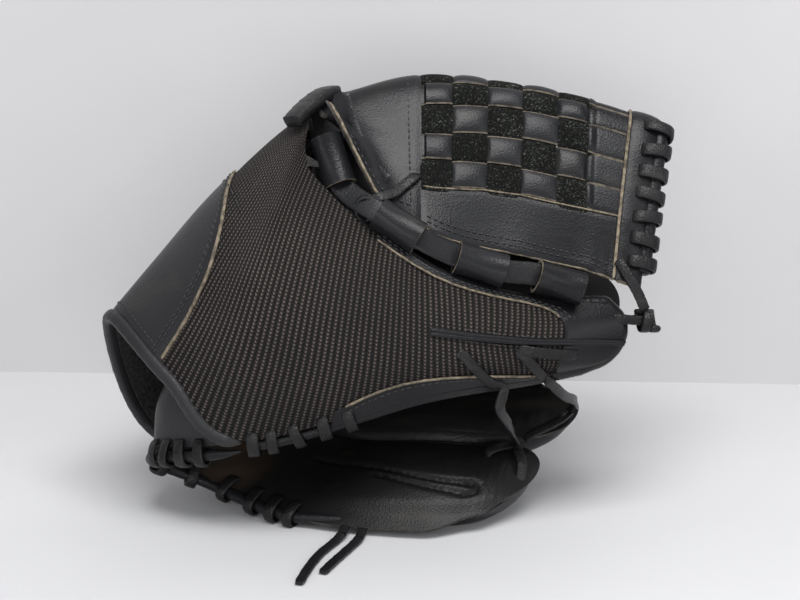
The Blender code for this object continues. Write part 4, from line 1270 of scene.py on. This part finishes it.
def make_web_laces():
    points = [(-29, 18, 219), (-35, 11, 218.5), (-43, 1, 214), (-50, -9, 208)]
    keep(lace("crotch_roll", points, [(-0.5, -0.4, 0.8)] * 4, 40, 11.5, 7.0), "hand", "lace", "crotch_lace")
    over = web.lifted([0.97, 0.9, 0.74, 0.58], [0.13, 0.09, 0.0, -0.1], [0.0, 3.4, 3.6, 4.0])
    points = np.vstack([over, [(-4.5, -29, 174), (-10.8, -29, 172)]])
    tie = lace("web_tie_run", points, [(-0.2, -1, 0.7)] * 6, 50)
    turn = np.linspace(0, 2.2 * math.pi, 36)
    ring = np.stack([-11 + 4.6 * np.sin(turn) - 1.5, -29.0 + 0 * turn, 168 + 6.0 * np.cos(turn)], 1)
    flat = np.stack([np.sin(turn), 0 * turn, np.cos(turn)], 1)
    loop = strap("web_tie_loop", ring, flat, 5.0, LACE_THICK, LACE_HIDE, **BAND)
    bends(joined("web_tie", [tie, loop]), WEB_BEND, "lace", "web_tie_lace")
    points = [(117.5, -21.5, 139), (121.5, -25.5, 133), (127, -28.5, 124), (131.5, -27.5, 114)]
    down = lace("corner_run", points, [(0, -1, 0.2)] * 4, 40)
    points = [(112, -29, 110), (119, -30.5, 110), (126, -29, 109), (136, -27.5, 108)]
    through = lace("corner_through", points, [(0, -1, 0.3)] * 4, 30, 5.0, 3.0)
    keep(joined("corner_tie", [down, through]), "thumb", "lace", "corner_lace")
    turn = np.linspace(0, 2 * math.pi * 1.7, 60)
    ring = np.stack([128.5 + turn * 0.8, -27 + 4.8 * np.sin(turn), 108 + 4.8 * np.cos(turn)], 1)
    out = np.stack([0 * turn, np.sin(turn), np.cos(turn)], 1)
    knot = strap("corner_knot_turns", ring, out, 5.4, 2.8, LACE_HIDE, squareness=0.6)
    keep(knot, "thumb", "lace", "corner_knot")


# The loose tails, from under the little finger to their cut ends
TAILS = {
    "left": [(-24.6, -59.9, 3.3), (-28, -66, 1.8), (-35, -80, 1.5), (-40, -96, 1.5), (-44, -114, 1.5)],
    "right": [(-15.6, -62.6, 2.3), (-18, -68, 1.6), (-23, -79, 1.5), (-28, -90, 1.5), (-33, -102, 1.5)],
}
# The way from a tail's start to its hidden end inside
TO_ROOT = np.array((2.2, 10.0, 1.6))
UP = (0, 0, 1)


def make_tails():
    for side, points in TAILS.items():
        line = spline(points, np.linspace(0, 4, 30))
        piece = strap(f"lace_end_{side}", line, UP, 5.0, 2.0, LACE_HIDE, wobble=0.05)
        keep(piece, "hand", "lace", f"lace_tail_{side}")
        under = line[0] + TO_ROOT * np.linspace(1, -0.03, 10)[:, None]
        root = strap(f"lace_root_{side}", under, UP, 4.8, 2.1, LACE_HIDE, taper=1.0)
        keep(root, "hand", "lace")


# Table, wall, light and camera

def plain_material(name, colour, roughness):
    made, tree, shader = new_material(name)
    where = object_place(tree)
    soft = noise(tree, where, 6, 3)
    dark = tuple(c * 0.96 for c in colour)
    set_shader(tree, shader, ramp(tree, soft, [(0.3, dark), (0.7, colour)]), roughness)
    return made


def make_stage():
    deselect_all()
    bpy.ops.mesh.primitive_plane_add(size=8, location=(0, -2.0, 0))
    floor = bpy.context.object
    floor.name = "table"
    floor.data.materials.append(plain_material("pale_table", (0.65, 0.65, 0.66), 0.6))
    bpy.ops.mesh.primitive_plane_add(size=8, location=(0, 0.22, 0),
                                     rotation=(math.radians(90), 0, math.radians(-2.8)))
    wall = bpy.context.object
    wall.name = "wall"
    finish = plain_material("pale_wall", (0.62, 0.61, 0.615), 0.8)
    seen_from_behind(finish)
    wall.data.materials.append(finish)


def seen_from_behind(finish):
    """Makes the wall's rear side clear, so that it stands in nobody's way."""
    tree = finish.node_tree
    side = add_node(tree, "ShaderNodeNewGeometry").outputs["Backfacing"]
    clear = add_node(tree, "ShaderNodeBsdfTransparent").outputs[0]
    both = add_node(tree, "ShaderNodeMixShader", None, i0=side, i1=tree.nodes["Principled BSDF"].outputs[0], i2=clear)
    tree.links.new(both.outputs[0], tree.nodes["Material Output"].inputs["Surface"])


def add_lamp(name, place, target, size, power):
    data = bpy.data.lights.new(name, "AREA")
    data.shape = "RECTANGLE"
    data.size, data.size_y = size
    data.energy = power
    lamp = bpy.data.objects.new(name, data)
    lamp.location = place
    lamp.rotation_euler = (Vector(target) - Vector(place)).to_track_quat("-Z", "Y").to_euler()
    bpy.context.scene.collection.objects.link(lamp)


# Each lamp's name, place, target, size in metres and power in watts
LAMPS = (
    ("overhead", (0.12, -0.42, 1.2), (0, 0.0, 0.1), (0.8, 0.5), 14.0),
    ("front_left", (-1.0, -1.1, 0.8), (0, 0, 0.1), (0.7, 0.7), 3.2),
    ("front_right", (1.1, -0.9, 0.7), (0, 0, 0.1), (0.7, 0.7), 3.4),
    ("low_front", (0.0, -1.3, 0.28), (0, 0, 0.08), (0.8, 0.3), 4.0),
)
ROOM_COLOUR = (0.9, 0.93, 1.0, 1)
ROOM_STRENGTH = 0.29


def make_light_and_camera():
    for lamp in LAMPS:
        add_lamp(*lamp)
    world = bpy.data.worlds.new("room")
    world.use_nodes = True
    background = world.node_tree.nodes["Background"].inputs
    background["Color"].default_value = ROOM_COLOUR
    background["Strength"].default_value = ROOM_STRENGTH
    bpy.context.scene.world = world
    data = bpy.data.cameras.new("photo_view")
    data.lens = LENS
    data.sensor_width = SENSOR
    camera = bpy.data.objects.new("photo_view", data)
    camera.location = CAMERA_PLACE
    camera.rotation_euler = (math.radians(CAMERA_TILT), 0, 0)
    bpy.context.scene.collection.objects.link(camera)
    bpy.context.scene.camera = camera
    bpy.context.scene.view_settings.view_transform = "Standard"


make_light_and_camera()
make_tails()
make_palm()
make_fingers()
make_thumb()
make_hand_back()
make_edges()
make_web()
make_tunnels()
make_ties()
make_web_laces()
make_stage()
